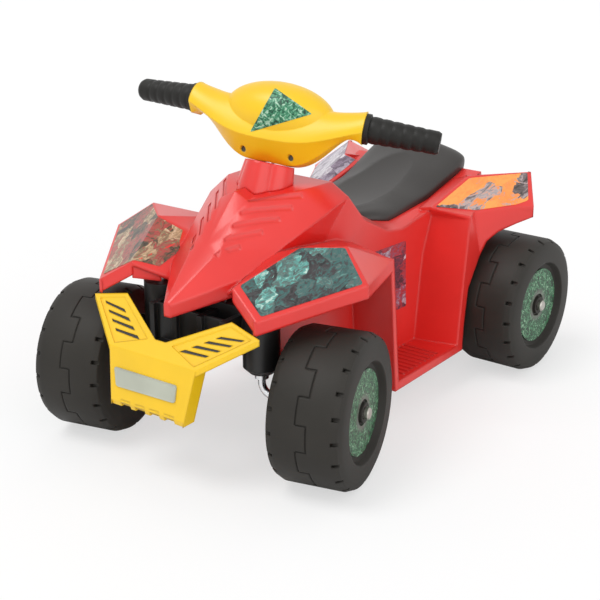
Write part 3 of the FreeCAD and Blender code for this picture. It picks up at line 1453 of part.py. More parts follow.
def battery_strap():
    """Hoop over the battery with a foot on each side."""
    half, top, t = d.battery_width / 2, tray_top + d.battery_height, d.strap_thickness
    middle = battery_y - d.battery_length / 4
    near, far = middle - d.strap_width / 2, middle + d.strap_width / 2
    hoop = box(V(-half - t, near, tray_top), V(half + t, far, top + t))
    feet = box(V(-half - d.strap_foot, near, tray_top), V(half + d.strap_foot, far, tray_top + t))
    return fused([hoop, feet]).cut(box(V(-half, near, tray_top), V(half, far, top)))


def wiring():
    """Lead from the battery to the motor, and one to the pedal's switch."""
    motor_top = shaft_centre(3)
    bend = d.wire_bend
    high = block_top + d.wire_rise
    to_motor = swept_rod([V(-d.terminal_half / 3, battery_y, block_top),
                          V(-d.terminal_half / 3, battery_y, high),
                          V(-d.terminal_half / 3, motor_top.y, high),
                          V(-d.terminal_half / 3, motor_top.y, motor_top.z)], d.wire_radius, bend)
    low = tray_top + d.wire_radius + 0.5
    aside = -(d.battery_width / 2 + d.wire_aside)
    to_switch = swept_rod([V(-d.terminal_half * 0.75, battery_y, block_top),
                           V(-d.terminal_half * 0.75, battery_y, high),
                           V(aside, switch_y, high), V(aside, switch_y, low),
                           V(pedal_x + d.switch_width / 2, switch_y, low)], d.wire_radius, bend)
    return Part.makeCompound([to_motor.cut(motor_shape), to_switch])


# Accelerator pedal on the right footboard

def pedal():
    """Ribbed plate hinged at the heel, drawn about its pin."""
    half = d.pedal_width / 2
    t = d.pedal_thickness / 2
    plate_solid = box(V(-half, -d.pedal_length, -t), V(half, 0, t))
    hub = rod(V(-half, 0, 0), V(half, 0, 0), d.pedal_pin_radius + t)
    solids = [plate_solid, hub]
    for step in range(int(d.pedal_ribs)):
        y = -d.pedal_length + d.floor_rib_width + step * d.floor_rib_pitch
        solids.append(box(V(-half + t, y, t), V(half - t, y + d.floor_rib_width, t + d.floor_rib_height)))
    bore = rod(V(-half, 0, 0), V(half, 0, 0), d.pedal_pin_radius + d.running_clearance)
    return fused(solids).cut(bore)


button_foot = V(pedal_x, switch_y, switch_top - d.button_sunk)
button_bore = rod(V(pedal_x, switch_y, d.foot_floor_bottom + d.case_wall), V(pedal_x, switch_y, switch_top),
                  d.switch_button_radius + d.running_clearance)
button = rod(button_foot, V(pedal_x, switch_y, pin_z + d.button_height), d.switch_button_radius)

pedal_place = LIFT.multiply(shift(pedal_x, pedal_y, pin_z))
feature("pedal", pedal(), pedal_place.multiply(turn(V(1, 0, 0), -d.pedal_rest)))
feature("pedal_pin", pedal_pin)
feature("pedal_switch", switch_box.cut(button_bore))
feature("switch_button", button)
feature("battery_strap", battery_strap())
feature("wiring", wiring())

doc.recompute()
for obj in doc.Objects:
    if "Invalid" in obj.State or "Error" in obj.State:
        raise RuntimeError("feature failed: " + obj.Label)
for piece in pieces:
    if piece.Shape.isNull() or not piece.Shape.isValid():
        raise RuntimeError("bad shape: " + piece.Label)

os.makedirs("parts", exist_ok=True)
for piece in pieces:
    piece.Shape.exportStep("parts/%s.step" % piece.Label)
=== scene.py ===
import json
import math

import bmesh
import bpy
from mathutils import Matrix, Vector
from mathutils.bvhtree import BVHTree


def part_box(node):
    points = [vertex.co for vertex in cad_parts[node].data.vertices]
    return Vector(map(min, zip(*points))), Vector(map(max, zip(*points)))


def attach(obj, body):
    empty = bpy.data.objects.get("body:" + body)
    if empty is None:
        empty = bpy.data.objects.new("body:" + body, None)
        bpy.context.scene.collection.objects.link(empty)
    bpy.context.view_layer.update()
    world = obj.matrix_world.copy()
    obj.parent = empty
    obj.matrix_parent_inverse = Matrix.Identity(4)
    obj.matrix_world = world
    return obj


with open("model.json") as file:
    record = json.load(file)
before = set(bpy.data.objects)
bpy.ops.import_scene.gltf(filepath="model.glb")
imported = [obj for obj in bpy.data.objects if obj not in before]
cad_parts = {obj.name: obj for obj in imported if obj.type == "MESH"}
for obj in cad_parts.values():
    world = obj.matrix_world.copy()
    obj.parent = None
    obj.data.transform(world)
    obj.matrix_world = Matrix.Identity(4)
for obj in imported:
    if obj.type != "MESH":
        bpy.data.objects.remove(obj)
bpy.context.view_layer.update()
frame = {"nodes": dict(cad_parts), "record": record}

# Child's quad bike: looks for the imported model, in metres, in the model's own frame
# (+Z up, the front faces -Y, +X is the rider's left).

nodes = frame["nodes"]
scene = bpy.context.scene
MM = 0.001

# Camera, as fitted to the photograph
IMAGE_SIZE = 600
FOCAL_PX = 1369.38
PRINCIPAL_PX = (308.63, 262.86)
CAMERA_AZIMUTH = math.radians(35.97)
CAMERA_ELEVATION = math.radians(19.26)
CAMERA_PLACE = Vector((1.0638, -1.48445, 0.8329))
SENSOR_MM = 36.0
BACK = Vector((math.sin(CAMERA_AZIMUTH) * math.cos(CAMERA_ELEVATION),
               -math.cos(CAMERA_AZIMUTH) * math.cos(CAMERA_ELEVATION),
               math.sin(CAMERA_ELEVATION)))
RIGHT = Vector((0, 0, 1)).cross(BACK).normalized()
UP = BACK.cross(RIGHT)


def add_camera():
    """Camera with the photograph's place, aim, focal length and framing."""
    camera = bpy.data.cameras.new("camera")
    camera.sensor_width = SENSOR_MM
    camera.lens = FOCAL_PX / IMAGE_SIZE * SENSOR_MM
    camera.shift_x = (IMAGE_SIZE / 2 - PRINCIPAL_PX[0]) / IMAGE_SIZE
    camera.shift_y = (PRINCIPAL_PX[1] - IMAGE_SIZE / 2) / IMAGE_SIZE
    obj = bpy.data.objects.new("camera", camera)
    scene.collection.objects.link(obj)
    turn = Matrix((RIGHT, UP, BACK)).transposed().to_4x4()
    obj.matrix_world = Matrix.Translation(CAMERA_PLACE) @ turn
    scene.camera = obj


def sight(across, down):
    """Direction from the camera through a point of the photograph."""
    x = (across - PRINCIPAL_PX[0]) / FOCAL_PX
    y = (PRINCIPAL_PX[1] - down) / FOCAL_PX
    return (RIGHT * x + UP * y - BACK).normalized()


# Materials

CLOUD_SCALE = 14.0          # broad unevenness of a moulding, in waves per metre
UNEVEN_GLOSS = 0.12         # share by which its roughness varies
GRAIN_STRENGTH = 0.25
METAL_STREAK_SCALE = 180.0
METAL_UNEVEN_GLOSS = 0.2
METAL_GRAIN = (0.1, 0.0002)
BEVEL_SAMPLES = 8
# Printed films: roughness, grain in waves per metre, and the grain's strength and depth
SHARD_ROUGHNESS = 0.3
SHARD_GRAIN_SCALE = 1200.0
SHARD_GRAIN = (0.15, 0.00004)
FLECK_ROUGHNESS = 0.34
FLECK_GLOSS = 0.3
FLECK_GRAIN_SCALE = 1100.0
FLECK_GRAIN = (0.15, 0.00005)
# Printed shards: how far they bend, their share of the tone, and the range of the fine streaks in it
SHARD_WAVE = 0.9
SHARD_BEND = (1.3, 1.3, 1.3)
SHARD_SHARE = 0.62
STREAK_SCALE = 3.2
STREAK_RANGE = (-0.30, 0.72)
# Grey centre of the wheel discs
HUB_GREY = (0.13, 0.125, 0.11, 1.0)
HUB_GREY_SHARE = 0.75
HUB_RADIUS_SHARE = 0.21     # of the disc's diameter
HUB_BLEND = 0.15            # of the radius, either side


def new_material(name):
    """A material with its node tree and its shader."""
    material = bpy.data.materials.new(name)
    material.use_nodes = True
    tree = material.node_tree
    shader = tree.nodes["Principled BSDF"]
    return material, tree, shader


def texture(tree, kind, scale, vector=None, **values):
    """Procedural texture over the object's own coordinates, or over those given."""
    node = tree.nodes.new(kind)
    if vector is None:
        vector = tree.nodes.new("ShaderNodeTexCoord").outputs["Object"]
    tree.links.new(vector, node.inputs["Vector"])
    node.inputs["Scale"].default_value = scale
    for name, value in values.items():
        node.inputs[name].default_value = value
    return node


def ramp(tree, source, stops):
    """Colours along a value, as a ramp with the given (place, colour) stops."""
    node = tree.nodes.new("ShaderNodeValToRGB")
    points = node.color_ramp.elements
    while len(points) < len(stops):
        points.new(0.5)
    for point, (place, colour) in zip(points, stops):
        point.position = place
        point.color = (*colour, 1.0)
    tree.links.new(source, node.inputs["Fac"])
    return node.outputs["Color"]


def spread(tree, source, low, high, target):
    """A value between 0 and 1, spread over a range and sent to a socket."""
    node = tree.nodes.new("ShaderNodeMapRange")
    node.inputs["To Min"].default_value = low
    node.inputs["To Max"].default_value = high
    tree.links.new(source, node.inputs["Value"])
    tree.links.new(node.outputs["Result"], target)


def bump(tree, shader, source, strength, distance, edge=0.0):
    """Surface grain, over edges that are rounded by the given radius."""
    node = tree.nodes.new("ShaderNodeBump")
    node.inputs["Strength"].default_value = strength
    node.inputs["Distance"].default_value = distance
    tree.links.new(source, node.inputs["Height"])
    if edge:
        round_edge = tree.nodes.new("ShaderNodeBevel")
        round_edge.samples = BEVEL_SAMPLES
        round_edge.inputs["Radius"].default_value = edge
        tree.links.new(round_edge.outputs["Normal"], node.inputs["Normal"])
    tree.links.new(node.outputs["Normal"], shader.inputs["Normal"])


def plastic(name, colour, roughness, grain, grain_depth, shade=0.06, edge=0.0, gloss=0.5):
    """Moulded plastic: slightly uneven colour and gloss over a fine grain."""
    material, tree, shader = new_material(name)
    shader.inputs["Specular IOR Level"].default_value = gloss
    cloud = texture(tree, "ShaderNodeTexNoise", CLOUD_SCALE, Detail=3.0)
    darker = tuple(c * (1 - shade) for c in colour)
    lighter = tuple(min(1.0, c * (1 + shade)) for c in colour)
    tone = ramp(tree, cloud.outputs["Fac"], [(0.35, darker), (0.65, lighter)])
    tree.links.new(tone, shader.inputs["Base Color"])
    spread(tree, cloud.outputs["Fac"], roughness * (1 - UNEVEN_GLOSS), roughness * (1 + UNEVEN_GLOSS),
           shader.inputs["Roughness"])
    skin = texture(tree, "ShaderNodeTexNoise", grain, Detail=2.0)
    bump(tree, shader, skin.outputs["Fac"], GRAIN_STRENGTH, grain_depth, edge)
    return material


def metal(name, colour, roughness):
    """Bare metal with fine uneven streaks."""
    material, tree, shader = new_material(name)
    shader.inputs["Metallic"].default_value = 1.0
    streak = texture(tree, "ShaderNodeTexNoise", METAL_STREAK_SCALE, Detail=2.0)
    tone = ramp(tree, streak.outputs["Fac"], [(0.3, tuple(c * 0.9 for c in colour)), (0.7, colour)])
    tree.links.new(tone, shader.inputs["Base Color"])
    spread(tree, streak.outputs["Fac"], roughness * (1 - METAL_UNEVEN_GLOSS), roughness * (1 + METAL_UNEVEN_GLOSS),
           shader.inputs["Roughness"])
    bump(tree, shader, streak.outputs["Fac"], *METAL_GRAIN)
    return material


def printed(name, stops, cell, turn, seed, streak=2.2):
    """Printed film: free shards and streaks in a few colours under a clear gloss."""
    material, tree, shader = new_material(name)
    place = tree.nodes.new("ShaderNodeTexCoord")
    mapping = tree.nodes.new("ShaderNodeMapping")
    mapping.inputs["Location"].default_value = seed
    mapping.inputs["Rotation"].default_value = turn
    mapping.inputs["Scale"].default_value = (1 / cell, 1 / (cell * streak), 1 / cell)
    tree.links.new(place.outputs["Object"], mapping.inputs["Vector"])
    wave = texture(tree, "ShaderNodeTexNoise", SHARD_WAVE, mapping.outputs["Vector"], Detail=3.0, Distortion=0.6)
    bend = tree.nodes.new("ShaderNodeVectorMath")
    bend.operation = "MULTIPLY_ADD"
    bend.inputs[1].default_value = SHARD_BEND
    tree.links.new(wave.outputs["Color"], bend.inputs[0])
    tree.links.new(mapping.outputs["Vector"], bend.inputs[2])
    shards = texture(tree, "ShaderNodeTexVoronoi", 1.0, bend.outputs["Vector"])
    fine = texture(tree, "ShaderNodeTexNoise", STREAK_SCALE, bend.outputs["Vector"], Detail=4.0, Distortion=1.0)
    pick = tree.nodes.new("ShaderNodeSeparateColor")
    tree.links.new(shards.outputs["Color"], pick.inputs["Color"])
    total = tree.nodes.new("ShaderNodeMath")
    total.operation = "MULTIPLY_ADD"
    total.inputs[1].default_value = SHARD_SHARE
    tree.links.new(pick.outputs["Red"], total.inputs[0])
    spread(tree, fine.outputs["Fac"], *STREAK_RANGE, total.inputs[2])
    tree.links.new(ramp(tree, total.outputs["Value"], stops), shader.inputs["Base Color"])
    shader.inputs["Roughness"].default_value = SHARD_ROUGHNESS
    grain = texture(tree, "ShaderNodeTexNoise", SHARD_GRAIN_SCALE, Detail=2.0)
    bump(tree, shader, grain.outputs["Fac"], *SHARD_GRAIN)
    return material


def grey_centre(tree, tone, place, hub, radius):
    """A tone that turns grey within a radius of the hub."""
    away = tree.nodes.new("ShaderNodeVectorMath")
    away.operation = "DISTANCE"
    away.inputs[1].default_value = hub
    tree.links.new(place, away.inputs[0])
    near = tree.nodes.new("ShaderNodeMapRange")
    near.inputs["From Min"].default_value = radius * (1 - HUB_BLEND)
    near.inputs["From Max"].default_value = radius * (1 + HUB_BLEND)
    near.inputs["To Min"].default_value = HUB_GREY_SHARE
    near.inputs["To Max"].default_value = 0.0
    tree.links.new(away.outputs["Value"], near.inputs["Value"])
    mix = tree.nodes.new("ShaderNodeMix")
    mix.data_type = "RGBA"
    mix.inputs["B"].default_value = HUB_GREY
    tree.links.new(near.outputs["Result"], mix.inputs["Factor"])
    tree.links.new(tone, mix.inputs["A"])
    return mix.outputs["Result"]


def mottled(name, stops, cell, seed, hub=None, hub_radius=0.0):
    """Printed film: small soft flecks of a few tones, greyer round a hub if one is given."""
    material, tree, shader = new_material(name)
    place = tree.nodes.new("ShaderNodeTexCoord").outputs["Object"]
    mapping = tree.nodes.new("ShaderNodeMapping")
    mapping.inputs["Location"].default_value = seed
    tree.links.new(place, mapping.inputs["Vector"])
    fleck = texture(tree, "ShaderNodeTexNoise", 1 / cell, mapping.outputs["Vector"], Detail=3.0, Distortion=1.4)
    tone = ramp(tree, fleck.outputs["Fac"], stops)
    if hub:
        tone = grey_centre(tree, tone, place, hub, hub_radius)
    tree.links.new(tone, shader.inputs["Base Color"])
    shader.inputs["Specular IOR Level"].default_value = FLECK_GLOSS
    shader.inputs["Roughness"].default_value = FLECK_ROUGHNESS
    grain = texture(tree, "ShaderNodeTexNoise", FLECK_GRAIN_SCALE, Detail=2.0)
    bump(tree, shader, grain.outputs["Fac"], *FLECK_GRAIN)
    return material


RED = plastic("red_plastic", (0.72, 0.026, 0.021), roughness=0.30, grain=900.0, grain_depth=0.00006,
              shade=0.03, edge=0.0050, gloss=0.6)
YELLOW = plastic("yellow_plastic", (0.87, 0.54, 0.008), roughness=0.36, grain=900.0, grain_depth=0.00006,
                 shade=0.03, edge=0.0025)
BLACK = plastic("black_plastic", (0.010, 0.010, 0.010), roughness=0.42, grain=700.0, grain_depth=0.00008,
                edge=0.0015)
GRIP = plastic("grip_rubber", (0.009, 0.0085, 0.007), roughness=0.5, grain=1100.0, grain_depth=0.0001,
               shade=0.1, edge=0.0010, gloss=0.3)
SEAT = plastic("seat_plastic", (0.024, 0.021, 0.019), roughness=0.44, grain=1300.0, grain_depth=0.00012,
               shade=0.05, edge=0.0030)
WHEEL = plastic("wheel_plastic", (0.025, 0.0225, 0.019), roughness=0.55, grain=1000.0, grain_depth=0.00015,
                shade=0.12, edge=0.0030, gloss=0.25)
GEAR = plastic("gear_plastic", (0.72, 0.71, 0.66), roughness=0.45, grain=800.0, grain_depth=0.00006)
WIRE = plastic("wire_rubber", (0.22, 0.01, 0.01), roughness=0.5, grain=900.0, grain_depth=0.00006)
PLATE = plastic("plate_plastic", (0.44, 0.46, 0.38), roughness=0.4, grain=900.0, grain_depth=0.00006,
                shade=0.08, edge=0.0008)
STEEL = metal("bright_steel", (0.80, 0.81, 0.83), 0.28)
DULL_STEEL = metal("dull_steel", (0.46, 0.44, 0.40), 0.36)
# Steel darkened as painted shade: the handlebar's screws sit in deep holes that fall into shade
SCREW_SHADE_STEEL = metal("screw_steel_painted_shade", (0.10, 0.09, 0.08), 0.4)
GREEN_STOPS = [(0.38, (0.004, 0.014, 0.006)), (0.48, (0.015, 0.075, 0.030)), (0.57, (0.035, 0.19, 0.075)),
               (0.68, (0.30, 0.46, 0.32))]
BY_SLOT = {"red_plastic": RED, "yellow_plastic": YELLOW, "black_plastic": BLACK, "grip_rubber": GRIP,
           "seat_plastic": SEAT, "wheel_plastic": WHEEL, "bright_steel": STEEL, "gear_plastic": GEAR,
           "wire_rubber": WIRE}


def wheel_materials():
    """Dull axle caps, and a material for each disc, because each is grey round its own hub."""
    materials = {}
    for wheel in ("front_left", "front_right", "rear_left", "rear_right"):
        disc = wheel + "_hub_disc"
        low, high = (Vector(corner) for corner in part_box(disc))
        materials[wheel + "_axle_cap"] = DULL_STEEL
        materials[disc] = mottled(disc, GREEN_STOPS, cell=0.0045, seed=(3, 1, 2), hub=(low + high) / 2,
                                  hub_radius=(high.z - low.z) * HUB_RADIUS_SHARE)
    return materials


# the handlebar's screws get the darkened steel, a painted shade for their deep holes
BY_NODE = {"handlebar_screws": SCREW_SHADE_STEEL, **wheel_materials()}

TEAL_ART = printed("teal_art", [(0.16, (0.010, 0.012, 0.012)), (0.38, (0.050, 0.042, 0.045)),
                                (0.52, (0.035, 0.13, 0.12)), (0.68, (0.10, 0.13, 0.12)),
                                (0.84, (0.10, 0.36, 0.32)), (1.0, (0.55, 0.70, 0.62))],
                   cell=0.016, turn=(0.3, 0.2, 0.9), seed=(4, 2, 7))
BROWN_ART = printed("brown_art", [(0.14, (0.03, 0.022, 0.018)), (0.36, (0.11, 0.085, 0.05)),
                                  (0.50, (0.45, 0.06, 0.06)), (0.62, (0.20, 0.15, 0.085)),
                                  (0.80, (0.50, 0.34, 0.20)), (1.0, (0.72, 0.62, 0.46))],
                    cell=0.018, turn=(0.2, 0.4, -0.5), seed=(1, 5, 3))
ORANGE_ART = printed("orange_art", [(0.14, (0.04, 0.033, 0.03)), (0.30, (0.17, 0.13, 0.13)),
                                    (0.44, (0.45, 0.38, 0.38)), (0.54, (0.90, 0.27, 0.06)),
                                    (0.84, (0.93, 0.36, 0.08))],
                     cell=0.026, turn=(0.1, 0.3, -0.4), seed=(6, 3, 1))
PURPLE_ART = printed("purple_art", [(0.14, (0.06, 0.045, 0.06)), (0.36, (0.20, 0.15, 0.21)),
                                    (0.54, (0.34, 0.28, 0.36)), (0.74, (0.52, 0.48, 0.53)),
                                    (0.95, (0.85, 0.82, 0.84))],
                     cell=0.016, turn=(0.1, 0.2, 0.4), seed=(2, 8, 5), streak=3.0)
SIDE_ART = printed("side_art", [(0.14, (0.03, 0.02, 0.025)), (0.34, (0.13, 0.05, 0.08)),
                                (0.48, (0.46, 0.03, 0.03)), (0.64, (0.22, 0.10, 0.16)),
                                (0.90, (0.60, 0.52, 0.58))],
                   cell=0.014, turn=(0.4, 0.1, 0.2), seed=(5, 5, 2))
LEAF_ART = mottled("leaf_art", [(0.34, (0.012, 0.05, 0.03)), (0.45, (0.03, 0.15, 0.08)),
                                (0.55, (0.09, 0.32, 0.18)), (0.66, (0.45, 0.62, 0.48))], cell=0.006, seed=(7, 1, 4))

# Edges that bend less than this many degrees are shaded smooth
SMOOTH_ANGLE = 26
FACETED_ANGLES = {"front_bumper": 8, "front_chassis": 8}
WELD_DISTANCE = 0.00001


def smooth_group(angle):
    """Node group that shades a mesh smooth and keeps the edges that bend by more than the given angle."""
    group = bpy.data.node_groups.new("smooth_by_%d" % angle, "GeometryNodeTree")
    group.interface.new_socket("Geometry", in_out="INPUT", socket_type="NodeSocketGeometry")
    group.interface.new_socket("Geometry", in_out="OUTPUT", socket_type="NodeSocketGeometry")
    add, link = group.nodes.new, group.links.new
    start, end = add("NodeGroupInput"), add("NodeGroupOutput")
    weld = add("GeometryNodeMergeByDistance")
    weld.inputs["Distance"].default_value = WELD_DISTANCE
    faces = add("GeometryNodeSetShadeSmooth")
    faces.domain = "FACE"
    edges = add("GeometryNodeSetShadeSmooth")
    edges.domain = "EDGE"
    bend = add("GeometryNodeInputMeshEdgeAngle")
    gentle = add("FunctionNodeCompare")
    gentle.operation = "LESS_THAN"
    gentle.inputs["B"].default_value = math.radians(angle)
    link(start.outputs["Geometry"], weld.inputs["Geometry"])
    link(weld.outputs["Geometry"], faces.inputs["Geometry"])
    link(faces.outputs["Geometry"], edges.inputs["Geometry"])
    link(bend.outputs["Unsigned Angle"], gentle.inputs["A"])
    link(gentle.outputs["Result"], edges.inputs["Shade Smooth"])
    link(edges.outputs["Geometry"], end.inputs["Geometry"])
    return group


def dress_nodes():
    """Gives each node its material and its smooth shading."""
    groups = {angle: smooth_group(angle) for angle in {SMOOTH_ANGLE, *FACETED_ANGLES.values()}}
    for entry in frame["record"]["subparts"]:
        name = entry["node"]
        obj = nodes[name]
        obj.data.materials.clear()
        obj.data.materials.append(BY_NODE[name] if name in BY_NODE else BY_SLOT[entry["material_slot"]])
        angle = FACETED_ANGLES.get(name, SMOOTH_ANGLE)
        obj.modifiers.new("smooth", "NODES").node_group = groups[angle]


# Printed films: how they are cut, pressed down and thickened

FILM_CUTS = 9
FILM_CORNER = 0.003
PRESS_REACH = 0.06
FILM_GAP = 0.00025
FILM_THICKNESS = 0.0003


def surface(node):
    """A node's mesh at rest, to cast rays at."""
    bm = bmesh.new()
    bm.from_mesh(nodes[node].data)
    tree = BVHTree.FromBMesh(bm)
    bm.free()
    return tree


def place_piece(name, bm, material, body):
    """Makes a mesh an object of the scene that rides a body."""
    mesh = bpy.data.meshes.new(name)
    bm.to_mesh(mesh)
    bm.free()
    mesh.materials.append(material)
    piece = bpy.data.objects.new(name, mesh)
    scene.collection.objects.link(piece)
    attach(piece, body)
    return piece


def film(name, node, outlines, aim, material, body, corner=FILM_CORNER):
    """Thin printed film: outlines filled with small faces and pressed along aim onto a node's surface.
    Two outlines share an edge where the film folds over a ridge."""
    tree = surface(node)
    bm = bmesh.new()
    corners = {}
    for outline in outlines:
        for point in outline:
            if point.freeze() not in corners:
                corners[point] = bm.verts.new(point)
        bm.faces.new([corners[point] for point in outline])
    if len(outlines) == 1:
        bmesh.ops.bevel(bm, geom=bm.verts[:], offset=corner, segments=3, profile=0.5, affect="VERTICES")
    bmesh.ops.triangulate(bm, faces=bm.faces[:])
    bmesh.ops.subdivide_edges(bm, edges=bm.edges[:], cuts=FILM_CUTS, use_grid_fill=True)
    for vert in bm.verts:
        hit = tree.ray_cast(vert.co - aim * PRESS_REACH, aim)[0]
        if hit:
            vert.co = hit - aim * FILM_GAP
    bmesh.ops.recalc_face_normals(bm, faces=bm.faces[:])
    if sum(face.normal.dot(aim) for face in bm.faces) > 0:
        bmesh.ops.reverse_faces(bm, faces=bm.faces[:])
    piece = place_piece(name, bm, material, body)
    thickness = piece.modifiers.new("thickness", "SOLIDIFY")
    thickness.thickness = FILM_THICKNESS
    thickness.offset = 1


def plane_normal(a, b, c):
    """Upward normal of the plane through three points."""
    normal = (Vector(b) - Vector(a)).cross(Vector(c) - Vector(a)).normalized()
    return normal if normal.z > 0 else -normal


# Outlines on the left side in mm: a fender's top facet, its inner ridge, the slope inside the ridge, and three corners
# of the facet that give its plane
FRONT_FENDER = [(87.4, -279.8, 262.3), (128.5, -292, 235.6), (200.9, -183.1, 260.6), (159.3, -161.7, 292.6),
                (116.5, -197.2, 293.8)]
FRONT_FOLD = [(83.6, -284.75, 260.5), (114.6, -200.15, 292)]
FRONT_INNER = [(79, -192, 278), (65, -222, 268), (63, -259, 252)]
FRONT_PLANE = [(128.25, -301.35, 230.5), (207.25, -180.35, 259), (160.25, -158.35, 294)]
REAR_FENDER = [(107.5, 142, 261), (113, 229, 285), (164, 316, 284), (190, 273, 257), (180, 251, 251),
               (147, 189.5, 251)]
REAR_FOLD = [(105.4, 143.5, 264), (109.8, 228, 287)]
REAR_INNER = [(89, 231, 278), (88, 152, 260)]
REAR_PLANE = [(105, 136.45, 262), (110, 231.45, 288), (183.25, 250.45, 249)]
SIDE_PANEL = [(92, 6.2, 227.6), (92, 86.6, 222.7), (92, 93.4, 121.6), (92, 55.2, 123.9)]
HANDLEBAR_FILM_PX = ((275, 88), (250, 132), (312, 114))
HANDLEBAR_FILM_CORNER = 0.002


def side_of(points, side):
    """Points given in mm for the left side, in metres for either side."""
    return [Vector((side * x, y, z)) * MM for x, y, z in points]


def add_films():
    """Films on the fenders, the side panels and the handlebar cover.
    On the right, the fenders' films fold over the inner ridges."""
    plan = {1: ("left", TEAL_ART, [FRONT_FENDER], ORANGE_ART, [REAR_FENDER]),
            -1: ("right",
                 BROWN_ART, [FRONT_FOLD[:1] + FRONT_FENDER[1:4] + FRONT_FOLD[1:], FRONT_FOLD + FRONT_INNER],
                 PURPLE_ART, [REAR_FOLD + REAR_FENDER[2:], REAR_FOLD + REAR_INNER])}
    for side, (word, front_art, front_outlines, rear_art, rear_outlines) in plan.items():
        film(word + "_front_film", "body_shell", [side_of(points, side) for points in front_outlines],
             -plane_normal(*side_of(FRONT_PLANE, side)), front_art, "chassis")
        film(word + "_rear_film", "body_shell", [side_of(points, side) for points in rear_outlines],
             -plane_normal(*side_of(REAR_PLANE, side)), rear_art, "chassis")
        film(word + "_side_film", "body_shell", [side_of(SIDE_PANEL, side)], Vector((-side, 0, 0)), SIDE_ART,
             "chassis")
    cover = surface("handlebar_front_cover")
    corners = [cover.ray_cast(CAMERA_PLACE, sight(*px))[0] for px in HANDLEBAR_FILM_PX]
    middle = sum(corners, Vector()) / 3
    film("handlebar_film", "handlebar_front_cover", [corners], (middle - CAMERA_PLACE).normalized(), LEAF_ART,
         "handlebar", HANDLEBAR_FILM_CORNER)


FENDER_LIP = [(83.5, -286.5, 258), (58, -259.5, 246.5), (58, -259.5, 231), (83.5, -286.5, 238)]
LIP_WALL = (2.9, 2.7, 0)
LIP_ROUNDING = 0.0008


def add_fender_lips():
    """Short turned-down lip along the inner front edge of each front fender."""
    for side, word in ((1, "left"), (-1, "right")):
        bm = bmesh.new()
        face = bm.faces.new([bm.verts.new(point) for point in side_of(FENDER_LIP, side)])
        back = bmesh.ops.extrude_face_region(bm, geom=[face])["geom"]
        back_verts = [item for item in back if isinstance(item, bmesh.types.BMVert)]
        bmesh.ops.translate(bm, verts=back_verts, vec=side_of([LIP_WALL], side)[0])
        bmesh.ops.recalc_face_normals(bm, faces=bm.faces[:])
        bmesh.ops.bevel(bm, geom=bm.edges[:], offset=LIP_ROUNDING, segments=2, profile=0.5, affect="EDGES")
        place_piece(word + "_fender_lip", bm, RED, "chassis")


# Plate on the bumper's panel
PLATE_PX = ((115.3, 366.2), (117.1, 385.6), (175.3, 403.2), (177.1, 385.6))
PLATE_CORNER = 0.003
PLATE_HEIGHT = 0.0022
PLATE_RIM = 0.0022
PLATE_SINK = 0.0009


def add_plate():
    """Plain raised plate on the bumper's panel, with a low rim."""
    panel = surface("front_bumper")
    corners = [panel.ray_cast(CAMERA_PLACE, sight(*px))[0] for px in PLATE_PX]
    bm = bmesh.new()
    bm.faces.new([bm.verts.new(point) for point in corners])
    bmesh.ops.bevel(bm, geom=bm.verts[:], offset=PLATE_CORNER, segments=4, profile=0.5, affect="VERTICES")
    face = bm.faces[:][0]
    face.normal_update()
    outward = face.normal.copy() if face.normal.dot(BACK) > 0 else -face.normal
    top = bmesh.ops.extrude_face_region(bm, geom=[face])["geom"]
    top_verts = [item for item in top if isinstance(item, bmesh.types.BMVert)]
    top_face = [item for item in top if isinstance(item, bmesh.types.BMFace)]
    bmesh.ops.translate(bm, verts=top_verts, vec=outward * PLATE_HEIGHT)
    bmesh.ops.inset_individual(bm, faces=top_face, thickness=PLATE_RIM)
    bmesh.ops.translate(bm, verts=top_face[0].verts[:], vec=-outward * PLATE_SINK)
    bmesh.ops.recalc_face_normals(bm, faces=bm.faces[:])
    place_piece("bumper_plate", bm, PLATE, "chassis")


# Left arm of the bumper in mm, at the corner, tip, inner tip and fork, its first slot in shares of the arm's width and
# length, and the depths in mm below the arm's top of the faces of the black plates that paint the shade in the slots
BUMPER_ARM = [(70.6, -346.45, 170), (134.8, -303.45, 211.28), (85.5, -294.45, 219.92), (8.6, -329.45, 186.32)]
BUMPER_SLOT = ((0.30, 0.06), (0.74, 0.28), (0.74, 0.35), (0.30, 0.16))
SLOT_COUNT = 4
SLOT_PITCH = 0.185
SLOT_SHADE_DEPTHS = (-3.6, -5.4)


def add_slot_shade_plates():
    """Black plates sunk in the slots of the bumper's arms: painted shade, standing for the dark gaps seen through the
    slots.
    """
    bm = bmesh.new()
    for side in (1, -1):
        near, outer, inner, fork = side_of(BUMPER_ARM, side)
        for i in range(SLOT_COUNT):
            corners = []
            for across, along in BUMPER_SLOT:
                inside = fork.lerp(inner, along + SLOT_PITCH * i)
                outside = near.lerp(outer, along + SLOT_PITCH * i)
                corners.append(inside.lerp(outside, across))
            front, back = ([bm.verts.new(point + Vector((0, 0, depth * MM))) for point in corners]
                           for depth in SLOT_SHADE_DEPTHS)
            bm.faces.new(front)
            bm.faces.new(back)
            for j in range(len(corners)):
                bm.faces.new((front[j - 1], front[j], back[j], back[j - 1]))
    bmesh.ops.recalc_face_normals(bm, faces=bm.faces[:])
    # painted shade: black plates put in the slots where there is only shade
    place_piece("bumper_slot_painted_shade", bm, BLACK, "chassis")


# Stage

FLOOR_HALF = 14.0
FLOOR_TONE = (0.96, 0.96, 0.96, 1)
FLOOR_WHITE = 0.6           # share of plain white in what the camera sees of the floor
WORLD_LIGHT = 0.62
WHITE = (1, 1, 1, 1)


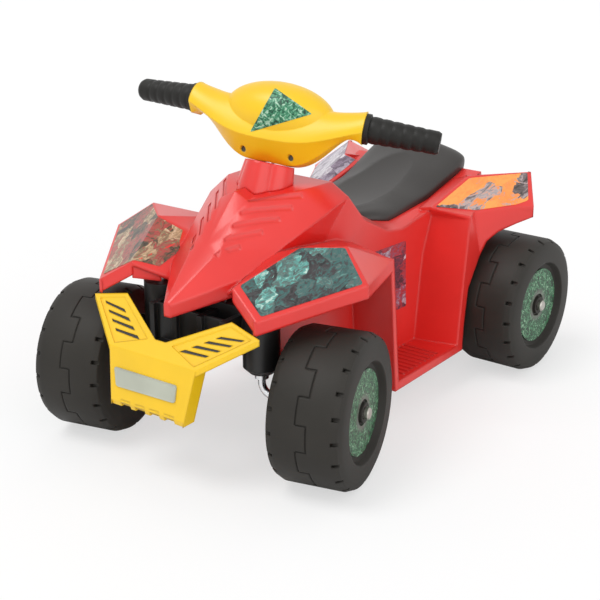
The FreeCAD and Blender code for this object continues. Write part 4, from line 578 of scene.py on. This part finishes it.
def add_floor():
    """Pale floor that keeps the shadow and fades into the white background."""
    mesh = bpy.data.meshes.new("floor")
    corners = [(x * FLOOR_HALF, y * FLOOR_HALF, 0) for x, y in ((-1, -1), (1, -1), (1, 1), (-1, 1))]
    mesh.from_pydata(corners, [], [(0, 1, 2, 3)])
    floor = bpy.data.objects.new("floor", mesh)
    scene.collection.objects.link(floor)
    material, tree, shader = new_material("floor")
    shader.inputs["Base Color"].default_value = FLOOR_TONE
    shader.inputs["Roughness"].default_value = 0.9
    shader.inputs["Specular IOR Level"].default_value = 0.1
    white = tree.nodes.new("ShaderNodeEmission")
    white.inputs["Strength"].default_value = 1.0
    share = tree.nodes.new("ShaderNodeMath")
    share.operation = "MULTIPLY"
    share.inputs[1].default_value = FLOOR_WHITE
    tree.links.new(tree.nodes.new("ShaderNodeLightPath").outputs["Is Camera Ray"], share.inputs[0])
    mix = tree.nodes.new("ShaderNodeMixShader")
    tree.links.new(share.outputs["Value"], mix.inputs["Fac"])
    tree.links.new(shader.outputs["BSDF"], mix.inputs[1])
    tree.links.new(white.outputs["Emission"], mix.inputs[2])
    tree.links.new(mix.outputs["Shader"], tree.nodes["Material Output"].inputs["Surface"])
    mesh.materials.append(material)


def add_sun(name, place, strength, spread_angle):
    """Sun lamp that shines from a place towards the origin, soft by its spread in degrees."""
    lamp = bpy.data.lights.new(name, "SUN")
    lamp.energy = strength
    lamp.angle = math.radians(spread_angle)
    obj = bpy.data.objects.new(name, lamp)
    scene.collection.objects.link(obj)
    obj.location = place
    obj.rotation_euler = (-Vector(place)).to_track_quat("-Z", "Y").to_euler()


def add_world():
    """Even studio light, plain white where it is seen or mirrored."""
    world = bpy.data.worlds.new("studio")
    scene.world = world
    world.use_nodes = True
    tree = world.node_tree
    light = tree.nodes["Background"]
    light.inputs["Color"].default_value = WHITE
    light.inputs["Strength"].default_value = WORLD_LIGHT
    plain = tree.nodes.new("ShaderNodeBackground")
    plain.inputs["Color"].default_value = WHITE
    plain.inputs["Strength"].default_value = 1.0
    path = tree.nodes.new("ShaderNodeLightPath")
    seen = path.outputs["Is Camera Ray"]
    for kind in ("Is Glossy Ray", "Is Transmission Ray"):
        either = tree.nodes.new("ShaderNodeMath")
        either.operation = "MAXIMUM"
        tree.links.new(seen, either.inputs[0])
        tree.links.new(path.outputs[kind], either.inputs[1])
        seen = either.outputs["Value"]
    mix = tree.nodes.new("ShaderNodeMixShader")
    tree.links.new(seen, mix.inputs["Fac"])
    tree.links.new(light.outputs["Background"], mix.inputs[1])
    tree.links.new(plain.outputs["Background"], mix.inputs[2])
    tree.links.new(mix.outputs["Shader"], tree.nodes["World Output"].inputs["Surface"])


scene.view_settings.view_transform = "Standard"
add_camera()
add_world()
add_floor()
add_sun("key", place=(-0.7, -1.5, 3.0), strength=1.2, spread_angle=28)
add_sun("fill", place=(2.6, -1.2, 1.3), strength=0.9, spread_angle=60)
dress_nodes()
add_films()
add_fender_lips()
add_plate()
add_slot_shade_plates()
